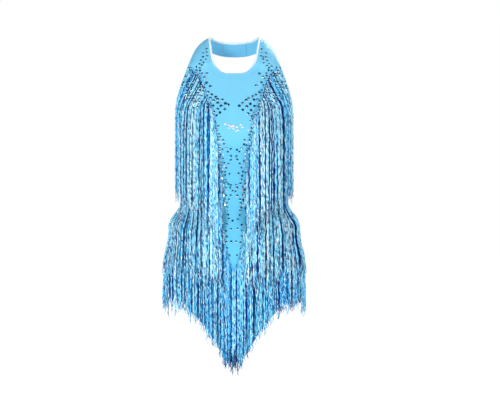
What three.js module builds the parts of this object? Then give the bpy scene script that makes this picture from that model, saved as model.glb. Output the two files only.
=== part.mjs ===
// Fringe dance bodysuit: a sleeveless halter bodysuit of stretch cloth with an open back, sewn all
// over with three tiers of hanging fringe. Millimetres, +Z up, the wearer faces -Y and +X is the
// wearer's left. The origin is at the nape, at the middle of the neck band's upper inner edge.
//
// The cloth is cut and sewn from a front panel, a back panel, a gusset and a neck band, with a narrow
// binding round the neck. The fringe is six lengths of trim, a left and a right one in each tier.
// Each piece is a thin wall. Its inner face lies on a general figure, given by level rings, and its
// outer face is the same grid moved out by the thickness.

import * as THREE from 'three';

// ---- Driving sizes ----

const CLOTH = 1.5;                // thickness of the stretch cloth
const SEAM_GAP = 0.3;             // clear space between two pieces at a seam
const BINDING = { width: 3, thickness: 2.2 };
const FRINGE_CLEARANCE = 2;       // from the cloth to the fringe that hangs over it
const FRINGE_GAP = 2.6;           // between the ends of the left and right trims of a tier
const TIER_CLEARANCE = 1.8;       // from one tier of fringe to the tier over it
const ROW_STEP = 24;              // height of a row of the panels' grids
const ARMHOLE_ROW_STEP = 13;      // and of a row beside an armhole
const LEG_ROW_STEP = 14;          // and of a row beside a leg opening
const UPPER_ROWS = 12;            // rows of the back panel from its curved edge to its level rows
const HALF_STATION = 0.5;         // the strap has a row between its stations too
const FRINGE_STEP = 38;           // height of a row of the fringe's grids
const HANG_SAMPLES = 4;           // places in each of those rows where the strands' reach is measured
const TURN_TOLERANCE = 1e-7;      // degrees, when a turn is found by halving
const ARC_SAMPLE = 3;             // degrees between the places where a ring's curve is measured

const SCOOP = { z: -76.5, halfWidth: 16 };    // the flat bottom of the neckline
const SIDE_SEAM = { turn: 90, top: -124, bottom: -532 };
const BACK_OPENING = { bottom: -330, sharpness: 2.4 };
const LEVEL_ROWS_FROM = -500;     // the back panel's rows lie level from here down
const UNDERBODY_FROM = -640;      // and the underbody table takes over from here
const FRONT_CELLS = { middle: 2, side: 5 };   // across half of the front panel
const BACK_CELLS = 7;             // across half of the back panel
const TURN_STEP = 7.5;            // most degrees across a cell of the fringe
const TOP_STEP = 50;              // and most that its top may drop across a cell

// The general figure: level rings about a vertical axis through y = AXIS_Y. A ring is a rounded
// oblong, with its half width, its reach to the front and to the back, and its squareness, which
// would be 2 for an ellipse.
const AXIS_Y = -65;
const FIGURE = [
  { z: -60, half: 128, front: 47, back: 86, square: 2.25 },
  { z: -107, half: 127, front: 75, back: 91, square: 2.3 },
  { z: -150, half: 123.5, front: 97, back: 91, square: 2.35 },
  { z: -212, half: 121, front: 111, back: 83, square: 2.4 },
  { z: -262, half: 117, front: 98, back: 73, square: 2.4 },
  { z: -320, half: 113, front: 92, back: 62, square: 2.4 },
  { z: -384, half: 112, front: 95, back: 57, square: 2.35 },
  { z: -415, half: 120, front: 100, back: 64, square: 2.35 },
  { z: -444, half: 136, front: 103, back: 78, square: 2.35 },
  { z: -470, half: 144, front: 104, back: 91, square: 2.35 },
  { z: -546, half: 153, front: 95, back: 118, square: 2.4 },
  { z: -600, half: 151, front: 79, back: 120, square: 2.4 },
  { z: -660, half: 148, front: 60, back: 106, square: 2.4 },
];
const CUP = { turn: 33, z: -212, rise: 9, degrees: 20, height: 42 };

// The outer edge of the halter front on the chest, from the scoop's level to the side seam.
const ARMHOLE = [
  { z: -76.5, turn: 73.4 },
  { z: -90, turn: 74.3 },
  { z: -107, turn: 77.5 },
  { z: -118, turn: 83.5 },
  { z: -124, turn: 90 },
];

// The strap, from the middle of the nape over the shoulder to just above the scoop: its edge at the
// neck, its outer edge, and how far its middle stands out between them.
const STRAP = [
  { neck: [0, 0, 0], outer: [0, 8, -28], crown: 0 },
  { neck: [13, -0.6, 0.4], outer: [14, 7.5, -27.5], crown: 0 },
  { neck: [26, -3, 2], outer: [29, 5.5, -26], crown: 0 },
  { neck: [40, -9, 5.5], outer: [48, -1, -21], crown: 0 },
  { neck: [51, -20, 10], outer: [67, -14, -12], crown: 0.5 },
  { neck: [56.5, -38, 12.5], outer: [77, -36, -5], crown: 1.5 },
  { neck: [57, -58, 6], outer: [84, -56, -12], crown: 3 },
  { neck: [54.5, -79, -12], outer: [91, -72, -26], crown: 4.5 },
  { neck: [51.5, -94.5, -32], outer: [97.5, -84, -42], crown: 5.8 },
  { neck: [47, -106, -50], outer: [102.6, -92.5, -56], crown: 7.4 },
  { neck: [40.5, -112, -62.5], outer: [106, -96.6, -65], crown: 8.4 },
  { neck: [32.5, -116.5, -70.5], outer: [107.8, -97.3, -69.5], crown: 9 },
  { neck: [24.5, -119.7, -74.7], outer: [109, -97.6, -73], crown: 9.4 },
];
const EVEN_STATIONS = 10;         // up to here the strap's rows are half a station apart
const STRAP_LEAVES = { above: 38, below: 74 };   // depths between which it leaves the figure
const BAND_SEAM = 2;              // the strap station where the neck band ends

// The leg openings on the rings, as turns from the centre front.
const LEG_EDGE = [
  { z: -532, front: 90, back: 90 },
  { z: -556, front: 70, back: 113 },
  { z: -575, front: 62, back: 124 },
  { z: -600, front: 55, back: 134 },
  { z: -620, front: 49, back: 140 },
  { z: -640, front: 42.5, back: 145.5 },
];

// Below the rings, between the legs: stations from front to back, with the middle of the cloth and
// its edge.
const UNDERBODY = {
  front: [
    { middle: [0, -125, -662], edge: [42, -117, -658] },
    { middle: [0, -114, -684], edge: [31, -107, -679] },
    { middle: [0, -97, -700], edge: [26, -92, -695] },
  ],
  gusset: [
    { middle: [0, -77, -708], edge: [24.5, -75, -702.5] },
    { middle: [0, -50, -710], edge: [25, -49, -704.5] },
  ],
  back: [
    { middle: [0, -22, -705], edge: [28, -22, -699] },
    { middle: [0, 8, -689], edge: [39, 4, -684] },
    { middle: [0, 31, -664], edge: [56, 23, -661] },
  ],
};

// The tiers of fringe: where the trim is sewn on and where its strands end, by turn.
const CHEST_TIER = [
  { turn: 14, top: -352, hem: -470 },
  { turn: 17, top: -290, hem: -450 },
  { turn: 19, top: -220, hem: -425 },
  { turn: 23, top: -172, hem: -402 },
  { turn: 29, top: -148, hem: -390 },
  { turn: 38, top: -127, hem: -381 },
  { turn: 46, top: -102, hem: -374 },
  { turn: 56, top: -84, hem: -366 },
  { turn: 66, top: -86, hem: -358 },
  { turn: 78, top: -114, hem: -352 },
  { turn: 90, top: -132, hem: -348 },
];
const WAIST_TIER = [
  { turn: 11, top: -430, hem: -545 },
  { turn: 20, top: -400, hem: -541 },
  { turn: 45, top: -357, hem: -527 },
  { turn: 90, top: -332, hem: -512 },
  { turn: 135, top: -358, hem: -520 },
  { turn: 180, top: -376, hem: -532 },
];
const HIP_TIER = [
  { turn: 0, top: -516, hem: -735 },
  { turn: 5.6, top: -497, hem: -726 },
  { turn: 11.3, top: -448, hem: -713 },
  { turn: 21, top: -447, hem: -687 },
  { turn: 32, top: -446, hem: -657 },
  { turn: 45, top: -445, hem: -627 },
  { turn: 60, top: -444, hem: -607 },
  { turn: 90, top: -442, hem: -600 },
  { turn: 120, top: -455, hem: -602 },
  { turn: 135, top: -461, hem: -613 },
  { turn: 150, top: -468, hem: -633 },
  { turn: 165, top: -474, hem: -667 },
  { turn: 180, top: -480, hem: -702 },
];
const CHEST_FRINGE = 3.5;         // thickness of each tier
const WAIST_FRINGE = 2.5;
const HIP_FRINGE = 2.5;

// ---- Reading the tables ----

/** The columns of a table at a value of its first column, on a smooth curve through its rows. */
function read(table, value) {
  const key = Object.keys(table[0])[0];
  const rising = table[table.length - 1][key] > table[0][key];
  const passed = (row) => (rising ? row[key] <= value : row[key] >= value);
  const last = table.length - 2;
  const i = Math.min(Math.max(table.filter(passed).length - 1, 0), last);
  const [a, b] = [table[i], table[i + 1]];
  const before = table[Math.max(i - 1, 0)];
  const after = table[Math.min(i + 2, last + 1)];
  const span = b[key] - a[key];
  const t = THREE.MathUtils.clamp((value - a[key]) / span, 0, 1);
  const columns = {};
  for (const name of Object.keys(a)) {
    const leaving = ((b[name] - before[name]) / (b[key] - before[key])) * span;
    const arriving = ((after[name] - a[name]) / (after[key] - a[key])) * span;
    columns[name] =
      a[name] * (2 * t ** 3 - 3 * t ** 2 + 1) +
      leaving * (t ** 3 - 2 * t ** 2 + t) +
      b[name] * (3 * t ** 2 - 2 * t ** 3) +
      arriving * (t ** 3 - t ** 2);
  }
  return columns;
}

/** Numbers from one value to another, in equal steps no longer than asked for. */
function steps(from, to, step) {
  const count = Math.ceil(Math.abs(to - from) / step);
  return Array.from({ length: count + 1 }, (_, i) => THREE.MathUtils.lerp(from, to, i / count));
}

/** Whole numbers from one to another, both included. */
const whole = (from, to) => Array.from({ length: to - from + 1 }, (_, i) => from + i);

// ---- The figure ----

/** How far the figure reaches from its axis, at a turn in degrees from the front and a height. */
function figureReach(turn, z) {
  const ring = read(FIGURE, z);
  const angle = THREE.MathUtils.degToRad(turn);
  const depth = Math.cos(angle) > 0 ? ring.front : ring.back;
  const across = (Math.abs(Math.sin(angle)) / ring.half) ** ring.square;
  const along = (Math.abs(Math.cos(angle)) / depth) ** ring.square;
  const sideways = (Math.abs(turn) - CUP.turn) / CUP.degrees;
  const upwards = (z - CUP.z) / CUP.height;
  const cup = CUP.rise * Math.exp(-(sideways ** 2) - upwards ** 2);
  return (across + along) ** (-1 / ring.square) + cup;
}

/** The point at a turn, a reach from the axis and a height. */
function around(turn, reach, z) {
  const angle = THREE.MathUtils.degToRad(turn);
  return new THREE.Vector3(reach * Math.sin(angle), AXIS_Y - reach * Math.cos(angle), z);
}

/** The turn at which the front of the ring at a height is a given distance from the middle. */
function turnAtX(x, z) {
  let [low, high] = [0, 90];
  while (high - low > TURN_TOLERANCE) {
    const turn = (low + high) / 2;
    if (around(turn, figureReach(turn, z), z).x < x) low = turn;
    else high = turn;
  }
  return low;
}

/** Evenly spaced points on the figure between two turns, at a height that may change with the turn. */
function figureArc(fromTurn, toTurn, heightAt, cells) {
  const samples = steps(fromTurn, toTurn, ARC_SAMPLE).map((turn) => {
    const z = heightAt(turn);
    return around(turn, figureReach(turn, z), z);
  });
  return new THREE.CatmullRomCurve3(samples).getSpacedPoints(cells);
}

// ---- Grids and walls ----

const mirrored = (p) => new THREE.Vector3(-p.x, p.y, p.z);

/** A row from its half at the wearer's left, whose first point is in the middle. */
const wholeRow = (half) => [...half.slice(1).reverse().map((p) => p && mirrored(p)), ...half];

/** Evenly spaced points from one point to another on a shallow arch that stands out by its crown. */
function archedRow(from, to, out, crown, cells) {
  return Array.from({ length: cells + 1 }, (_, i) => {
    const t = i / cells;
    return from.clone().lerp(to, t).addScaledVector(out, 4 * crown * t * (1 - t));
  });
}

/** The outward direction at each point of a grid, whose rows run down and columns run to +X in front. */
function outwards(grid) {
  return grid.map((row, r) => row.map((point, c) => {
    if (!point) return null;
    const above = grid[r - 1]?.[c] ?? point;
    const below = grid[r + 1]?.[c] ?? point;
    const down = below.clone().sub(above);
    const sideways = (row[c + 1] ?? point).clone().sub(row[c - 1] ?? point);
    return down.cross(sideways).normalize();
  }));
}

/** A wall on a grid of points, where a missing point leaves a hole, as a closed geometry. */
function wall(grid, thickness) {
  const normals = outwards(grid);
  const positions = [];
  const faces = [];
  const numbers = new Map();
  const vertex = (r, c, outer) => {
    const key = `${r},${c},${outer}`;
    if (!numbers.has(key)) {
      const point = grid[r][c].clone().addScaledVector(normals[r][c], outer ? thickness : 0);
      numbers.set(key, positions.length / 3);
      positions.push(...point);
    }
    return numbers.get(key);
  };
  const corner = (v) => new THREE.Vector3().fromArray(positions, 3 * v);
  const quad = (a, b, c, d) => {
    const [ac, bd] = [corner(a).distanceTo(corner(c)), corner(b).distanceTo(corner(d))];
    faces.push(...(ac < bd ? [a, b, c, a, c, d] : [b, c, d, b, d, a]));
  };
  const isCell = (r, c) =>
    [[r, c], [r, c + 1], [r + 1, c], [r + 1, c + 1]].every(([i, j]) => grid[i]?.[j]);
  const skin = (outer, ...corners) => quad(...corners.map((at) => vertex(...at, outer)));
  const rim = (a, b) =>
    quad(vertex(...a, true), vertex(...b, true), vertex(...b, false), vertex(...a, false));
  for (let r = 0; r < grid.length - 1; r++) {
    for (let c = 0; c < grid[r].length - 1; c++) {
      if (!isCell(r, c)) continue;
      const [a, b, d, e] = [[r, c], [r + 1, c], [r + 1, c + 1], [r, c + 1]];
      skin(true, a, b, d, e);
      skin(false, e, d, b, a);
      if (!isCell(r - 1, c)) rim(a, e);
      if (!isCell(r + 1, c)) rim(d, b);
      if (!isCell(r, c - 1)) rim(b, a);
      if (!isCell(r, c + 1)) rim(e, d);
    }
  }
  const geometry = new THREE.BufferGeometry();
  geometry.setAttribute('position', new THREE.Float32BufferAttribute(positions, 3));
  geometry.setIndex(faces);
  geometry.computeVertexNormals();
  return geometry;
}

/** Moves a point towards another by half a gap. */
const drawBack = (point, inner, gap) => {
  const step = inner.clone().sub(point);
  point.addScaledVector(step, gap / 2 / step.length());
};

/** Draws a grid's first or last row back from the seam that it lies on. */
function trimRow(grid, first) {
  const [edge, next] = first ? [grid[0], grid[1]] : grid.slice(-2).reverse();
  edge.forEach((point, c) => point && drawBack(point, next[c], SEAM_GAP));
}

/** Draws both ends of a row back from the seams that they lie on. */
function trimEnds(row, gap) {
  drawBack(row[0], row[1], gap);
  drawBack(row.at(-1), row.at(-2), gap);
}

const vector = (xyz) => new THREE.Vector3(...xyz);

// ---- The strap and the neck band ----

const level = (z) => () => z;

/** The points of the front panel's side cells on a level ring, from the middle cells outwards. */
function sideCells(z, edgeTurn) {
  const inner = turnAtX(SCOOP.halfWidth, z);
  return figureArc(inner, edgeTurn, level(z), FRONT_CELLS.side);
}

// The strap's edges run on into the panel's first two level rows, so that they meet smoothly.
const firstRows = [SCOOP.z, SCOOP.z - ROW_STEP].map((z) => sideCells(z, read(ARMHOLE, z).turn));
const lastCrown = STRAP.at(-1).crown;
const stations = [
  ...STRAP,
  ...firstRows.map((row) => ({ neck: [...row[0]], outer: [...row.at(-1)], crown: lastCrown })),
];
const neckEdge = new THREE.CatmullRomCurve3(stations.map((s) => vector(s.neck)));
const outerEdge = new THREE.CatmullRomCurve3(stations.map((s) => vector(s.outer)));

/** A point of the strap, brought onto the figure by degrees as it comes down to the chest. */
function settled(point) {
  const share = THREE.MathUtils.smoothstep(-point.z, STRAP_LEAVES.above, STRAP_LEAVES.below);
  const turn = turnAtX(point.x, point.z);
  const onFigure = around(turn, figureReach(turn, point.z), point.z);
  return point.clone().lerp(onFigure, share);
}

/** The row across the strap at a station, which may lie between two of the table's. */
function strapRow(station, cells) {
  const t = station / (stations.length - 1);
  const [from, to] = [neckEdge.getPoint(t), outerEdge.getPoint(t)];
  const out = neckEdge.getTangent(t).cross(to.clone().sub(from)).normalize();
  const [a, b] = [Math.floor(station), Math.ceil(station)].map((i) => stations[i].crown);
  const row = archedRow(from, to, out, THREE.MathUtils.lerp(a, b, station % 1), cells);
  return row.map(settled);
}

function neckBandGrid() {
  const half = steps(0, BAND_SEAM, HALF_STATION).map((station) => strapRow(station, FRONT_CELLS.side));
  const grid = [...half.slice(1).reverse().map((row) => row.map(mirrored)), ...half];
  trimRow(grid, true);
  trimRow(grid, false);
  return grid;
}

// ---- The panels ----

/** A row between the legs, level in the middle and rising to its edges. */
function underbodyRow({ middle, edge }, cells) {
  return steps(0, 1, 1 / cells).map((t) => new THREE.Vector3(
    edge[0] * t,
    THREE.MathUtils.lerp(middle[1], edge[1], t ** 2),
    THREE.MathUtils.lerp(middle[2], edge[2], t ** 2),
  ));
}

/** The row on the seam between two stations of the underbody. */
function seamRow(before, after, cells) {
  const [a, b] = [before, after].map((station) => underbodyRow(station, cells));
  return wholeRow(a.map((point, i) => point.lerp(b[i], 0.5)));
}

const seams = {
  front: [UNDERBODY.front.at(-1), UNDERBODY.gusset[0]],
  back: [UNDERBODY.gusset.at(-1), UNDERBODY.back[0]],
};
const FRONT_HALF = FRONT_CELLS.middle + FRONT_CELLS.side;

function frontPanelGrid() {
  const noMiddle = Array(FRONT_CELLS.middle).fill(null);
  const halfStations = steps(BAND_SEAM, EVEN_STATIONS, HALF_STATION);
  const strapStations = [...halfStations, ...whole(EVEN_STATIONS + 1, STRAP.length - 1)];
  const strapRows = strapStations.map((station) =>
    [...noMiddle, ...strapRow(station, FRONT_CELLS.side)]);
  const levelRow = (z, edgeTurn) => {
    const side = sideCells(z, edgeTurn);
    const middle = figureArc(0, turnAtX(SCOOP.halfWidth, z), level(z), FRONT_CELLS.middle);
    return [...middle.slice(0, -1), ...side];
  };
  const chestRows = steps(SCOOP.z, SIDE_SEAM.top, ARMHOLE_ROW_STEP).slice(0, -1).map((z) =>
    levelRow(z, read(ARMHOLE, z).turn));
  const bodyRows = steps(SIDE_SEAM.top, SIDE_SEAM.bottom, ROW_STEP).slice(0, -1).map((z) =>
    levelRow(z, SIDE_SEAM.turn));
  const legRows = steps(SIDE_SEAM.bottom, UNDERBODY_FROM, LEG_ROW_STEP).map((z) =>
    levelRow(z, read(LEG_EDGE, z).front));
  const underRows = UNDERBODY.front.map((station) => underbodyRow(station, FRONT_HALF));
  const halves = [...strapRows, ...chestRows, ...bodyRows, ...legRows, ...underRows];
  const grid = [...halves.map(wholeRow), seamRow(...seams.front, FRONT_HALF)];
  const seamStart = strapRows.length + chestRows.length;
  grid.slice(seamStart, seamStart + bodyRows.length + 1).forEach((row) => trimEnds(row, SEAM_GAP));
  trimRow(grid, true);
  trimRow(grid, false);
  return grid;
}

/** The back panel's upper edge: a deep curve from the side seams down to the small of the back. */
function backOpeningAt(turn) {
  const share = Math.abs(180 - turn) / (180 - SIDE_SEAM.turn);
  const rise = SIDE_SEAM.top - BACK_OPENING.bottom;
  return BACK_OPENING.bottom + rise * share ** BACK_OPENING.sharpness;
}

function backPanelGrid() {
  const cells = 2 * BACK_CELLS;
  const backArc = (edge, heightAt) => figureArc(edge, 360 - edge, heightAt, cells);
  const upperRows = steps(0, 1, 1 / UPPER_ROWS).slice(0, -1).map((share) =>
    backArc(SIDE_SEAM.turn, (turn) =>
      THREE.MathUtils.lerp(backOpeningAt(turn), LEVEL_ROWS_FROM, share)));
  const levelRows = steps(LEVEL_ROWS_FROM, SIDE_SEAM.bottom, ROW_STEP).slice(0, -1).map((z) =>
    backArc(SIDE_SEAM.turn, level(z)));
  const legRows = steps(SIDE_SEAM.bottom, UNDERBODY_FROM, LEG_ROW_STEP).map((z) =>
    backArc(read(LEG_EDGE, z).back, level(z)));
  const underRows = UNDERBODY.back.toReversed().map((station) =>
    wholeRow(underbodyRow(station, BACK_CELLS)).reverse());
  const lastRow = seamRow(...seams.back, BACK_CELLS).reverse();
  const grid = [...upperRows, ...levelRows, ...legRows, ...underRows, lastRow];
  grid.slice(0, upperRows.length + levelRows.length + 1).forEach((row) => trimEnds(row, SEAM_GAP));
  trimRow(grid, false);
  return grid;
}

function gussetGrid() {
  const rows = UNDERBODY.gusset.map((station) => wholeRow(underbodyRow(station, FRONT_HALF)));
  const grid = [seamRow(...seams.front, FRONT_HALF), ...rows, seamRow(...seams.back, FRONT_HALF)];
  trimRow(grid, true);
  trimRow(grid, false);
  return grid;
}

// ---- The neck's binding ----

/** A closed loop of a rectangular section that lies beside the edge of the neck and the scoop. */
function neckBinding(front, band) {
  const edge = [];
  const collect = (grid, rows, column) => {
    const normals = outwards(grid);
    for (const r of rows) edge.push({ point: grid[r][column], out: normals[r][column] });
  };
  const scoopRow = front.findIndex((row) => row[FRONT_HALF]);
  const [rightNeck, leftNeck] = [FRONT_HALF - FRONT_CELLS.middle, FRONT_HALF + FRONT_CELLS.middle];
  const down = whole(1, scoopRow);
  collect(band, whole(1, band.length - 2), 0);
  collect(front, down, leftNeck);
  for (let c = leftNeck - 1; c > rightNeck; c--) collect(front, [scoopRow], c);
  collect(front, down.toReversed(), rightNeck);

  const positions = [];
  const faces = [];
  const count = edge.length;
  const faceOut = (CLOTH - BINDING.thickness) / 2;
  edge.forEach(({ point, out }, i) => {
    const along = edge[(i + 1) % count].point.clone().sub(edge.at(i - 1).point).normalize();
    const away = along.clone().cross(out).normalize();
    const corner = (width, height) => positions.push(
      ...point.clone().addScaledVector(away, width).addScaledVector(out, height));
    corner(SEAM_GAP, faceOut);
    corner(SEAM_GAP + BINDING.width, faceOut);
    corner(SEAM_GAP + BINDING.width, faceOut + BINDING.thickness);
    corner(SEAM_GAP, faceOut + BINDING.thickness);
    for (let side = 0; side < 4; side++) {
      const [a, b] = [4 * i + ((side + 1) % 4), 4 * i + side];
      const [c, d] = [b, a].map((v) => (v + 4) % (4 * count));
      faces.push(a, b, c, a, c, d);
    }
  });
  const geometry = new THREE.BufferGeometry();
  geometry.setAttribute('position', new THREE.Float32BufferAttribute(positions, 3));
  geometry.setIndex(faces);
  geometry.computeVertexNormals();
  return geometry;
}

// ---- The fringe ----

/** How far out a tier's outer face is at a turn and a height, or 0 above its top. */
function tierReach(tier, turn, z) {
  const near = tier.columns.filter((column) => Math.abs(column.turn - turn) < TURN_STEP);
  const reaches = near.filter((column) => z < column.top + FRINGE_STEP).map((column) => {
    const row = ((column.top - z) / (column.top - column.hem)) * tier.rows;
    const i = THREE.MathUtils.clamp(Math.floor(row), 0, tier.rows - 1);
    const share = THREE.MathUtils.clamp(row - i, 0, 1);
    return THREE.MathUtils.lerp(column.reaches[i], column.reaches[i + 1], share);
  });
  return reaches.length ? Math.max(...reaches) + tier.thickness : 0;
}

/**
 * A tier of fringe. Its strands leave the cloth at the tier's top line and hang straight down, so at
 * each turn they reach as far out as the widest place that they have passed, on the figure or on a
 * tier under them.
 */
function hangTier(table, thickness, under = []) {
  const split = (from, to) => {
    const drop = Math.abs(read(table, from).top - read(table, to).top);
    if (to - from <= TURN_STEP && drop <= TOP_STEP) return [to];
    const middle = (from + to) / 2;
    return [...split(from, middle), ...split(middle, to)];
  };
  const first = table[0].turn;
  const turns = [first, ...split(first, table.at(-1).turn)];
  const tallest = Math.max(...table.map((row) => row.top - row.hem));
  const tier = { thickness, rows: Math.ceil(tallest / FRINGE_STEP), columns: [] };
  for (const turn of turns) {
    const { top, hem } = read(table, turn);
    const samples = tier.rows * HANG_SAMPLES;
    let reach = 0;
    const reaches = whole(0, samples).map((i) => {
      const z = THREE.MathUtils.lerp(top, hem, i / samples);
      const cloth = figureReach(turn, z) + CLOTH + FRINGE_CLEARANCE;
      const tiers = under.map((lower) => tierReach(lower, turn, z) + TIER_CLEARANCE);
      reach = Math.max(reach, cloth, ...tiers);
      return reach;
    });
    const kept = reaches.filter((_, i) => i % HANG_SAMPLES === 0);
    tier.columns.push({ turn, top, hem, reaches: kept });
  }
  return tier;
}

/** The grid of a tier on the wearer's left, or of its mirror image on the right. */
function tierGrid(tier, right) {
  const grid = whole(0, tier.rows).map((r) => tier.columns.map((column) => {
    const z = THREE.MathUtils.lerp(column.top, column.hem, r / tier.rows);
    return around(column.turn, column.reaches[r], z);
  }));
  grid.forEach((row) => trimEnds(row, FRINGE_GAP));
  return right ? grid.map((row) => row.toReversed().map(mirrored)) : grid;
}

const hipTier = hangTier(HIP_TIER, HIP_FRINGE);
const waistTier = hangTier(WAIST_TIER, WAIST_FRINGE, [hipTier]);
const chestTier = hangTier(CHEST_TIER, CHEST_FRINGE, [hipTier, waistTier]);

// ---- The bodysuit ----

const FINISHES = {
  cloth: { color: 0x73cbf5, roughness: 0.6 },
  binding: { color: 0xd8ecf6, roughness: 0.7 },
  fringe: { color: 0x6fb4e6, roughness: 0.5 },
};

const bodysuit = new THREE.Group();

function add(name, geometry, finish) {
  const material = new THREE.MeshStandardMaterial({ ...finish, metalness: 0 });
  const mesh = new THREE.Mesh(geometry, material);
  mesh.name = name;
  bodysuit.add(mesh);
}

const frontPanel = frontPanelGrid();
const neckBand = neckBandGrid();
add('front_panel', wall(frontPanel, CLOTH), FINISHES.cloth);
add('back_panel', wall(backPanelGrid(), CLOTH), FINISHES.cloth);
add('gusset', wall(gussetGrid(), CLOTH), FINISHES.cloth);
add('neck_band', wall(neckBand, CLOTH), FINISHES.cloth);
add('neck_binding', neckBinding(frontPanel, neckBand), FINISHES.binding);

const TIERS = [
  { name: 'chest_fringe', tier: chestTier },
  { name: 'waist_fringe', tier: waistTier },
  { name: 'hip_fringe', tier: hipTier },
];
for (const { name, tier } of TIERS) {
  add(`${name}_left`, wall(tierGrid(tier, false), tier.thickness), FINISHES.fringe);
  add(`${name}_right`, wall(tierGrid(tier, true), tier.thickness), FINISHES.fringe);
}

export default bodysuit;
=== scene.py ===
# %% [markdown]
# # A fringe dance bodysuit, built round a fixed frame
#
# A halter bodysuit of stretch cloth for the stage, with three tiers of twisted fringe and glass
# stones. Its cut and its sizes come from the loaded frame: plain walls for the four cloth pieces and
# the neck's binding, and plain curtains for the fringe. This script makes what is seen: the knit,
# the sewing, every strand and every stone.
#
# The frame is loaded first. The finished model has to stay inside it apart from what loose fringe
# stands proud. Every chance is drawn from one seeded source.

# %% The frame
import math

import bmesh
import bpy
import numpy as np
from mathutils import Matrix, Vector
from mathutils.bvhtree import BVHTree


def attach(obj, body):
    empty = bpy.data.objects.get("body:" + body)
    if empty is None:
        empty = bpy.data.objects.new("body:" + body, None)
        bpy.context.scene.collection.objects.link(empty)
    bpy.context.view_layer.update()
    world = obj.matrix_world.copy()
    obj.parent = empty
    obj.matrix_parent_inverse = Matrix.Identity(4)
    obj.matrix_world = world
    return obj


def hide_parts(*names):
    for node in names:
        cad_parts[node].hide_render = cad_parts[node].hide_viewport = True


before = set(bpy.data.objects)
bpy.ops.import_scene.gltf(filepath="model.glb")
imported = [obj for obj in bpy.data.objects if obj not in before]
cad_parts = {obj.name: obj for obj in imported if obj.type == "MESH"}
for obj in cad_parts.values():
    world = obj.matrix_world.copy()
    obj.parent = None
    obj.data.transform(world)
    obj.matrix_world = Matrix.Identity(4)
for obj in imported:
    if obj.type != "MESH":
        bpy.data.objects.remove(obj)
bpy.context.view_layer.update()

rng = np.random.default_rng(11)

# %% [markdown]
# ## The camera
#
# A garment is best seen from a few metres away through a long lens, so that its shoulders and its
# hem are at one scale. The camera stands level with the waist and a little to the wearer's left,
# which sets the garment left of the middle of the view.

# %% The camera
AXIS_Y = -0.065          # the upright line through the middle of the body
SHOT = {"aside": 0.0353, "height": -0.3545, "distance": 4.0, "lens": 128.0}

camera_data = bpy.data.cameras.new("studio_camera")
camera_data.lens = SHOT["lens"]
camera = bpy.data.objects.new("studio_camera", camera_data)
camera.location = (SHOT["aside"], AXIS_Y - SHOT["distance"], SHOT["height"])
camera.rotation_euler = (math.radians(90), 0, 0)
bpy.context.collection.objects.link(camera)
bpy.context.scene.camera = camera
print("camera", SHOT["distance"], "m away, lens", SHOT["lens"], "mm")

# %% [markdown]
# ## Writing finishes as sums
#
# A finish is easier to read as arithmetic than as boxes and wires. `Wire` wraps one output of a
# node, and adding, multiplying or comparing wires adds the Math nodes. `Finish` is one material, and
# its `node` method adds any other node: first its type and settings, then what goes into it.

# %% Wires


def maths(operation, swapped=False):
    """A method of a wire that adds a Math node. Swapped, the wire comes second, as in 1 - wire."""

    def method(wire, *others):
        inputs = (*others, wire) if swapped else (wire, *others)
        return wire.finish.node("ShaderNodeMath", {"operation": operation}, *inputs)

    return method


class Wire:
    """A value in a finish's node tree. Python's operators on it add Math nodes."""

    def __init__(self, finish, socket):
        self.finish = finish
        self.socket = socket

    __add__ = __radd__ = maths("ADD")
    __sub__ = maths("SUBTRACT")
    __rsub__ = maths("SUBTRACT", swapped=True)
    __mul__ = __rmul__ = maths("MULTIPLY")
    __truediv__ = maths("DIVIDE")
    __rtruediv__ = maths("DIVIDE", swapped=True)
    __gt__ = maths("GREATER_THAN")
    __lt__ = maths("LESS_THAN")
    at_most = maths("MINIMUM")
    at_least = maths("MAXIMUM")
    root = maths("SQRT")
    sine = maths("SINE")
    part = maths("FRACT")            # what is left past the last whole number
    whole = maths("FLOOR")

# %% Finishes


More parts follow.
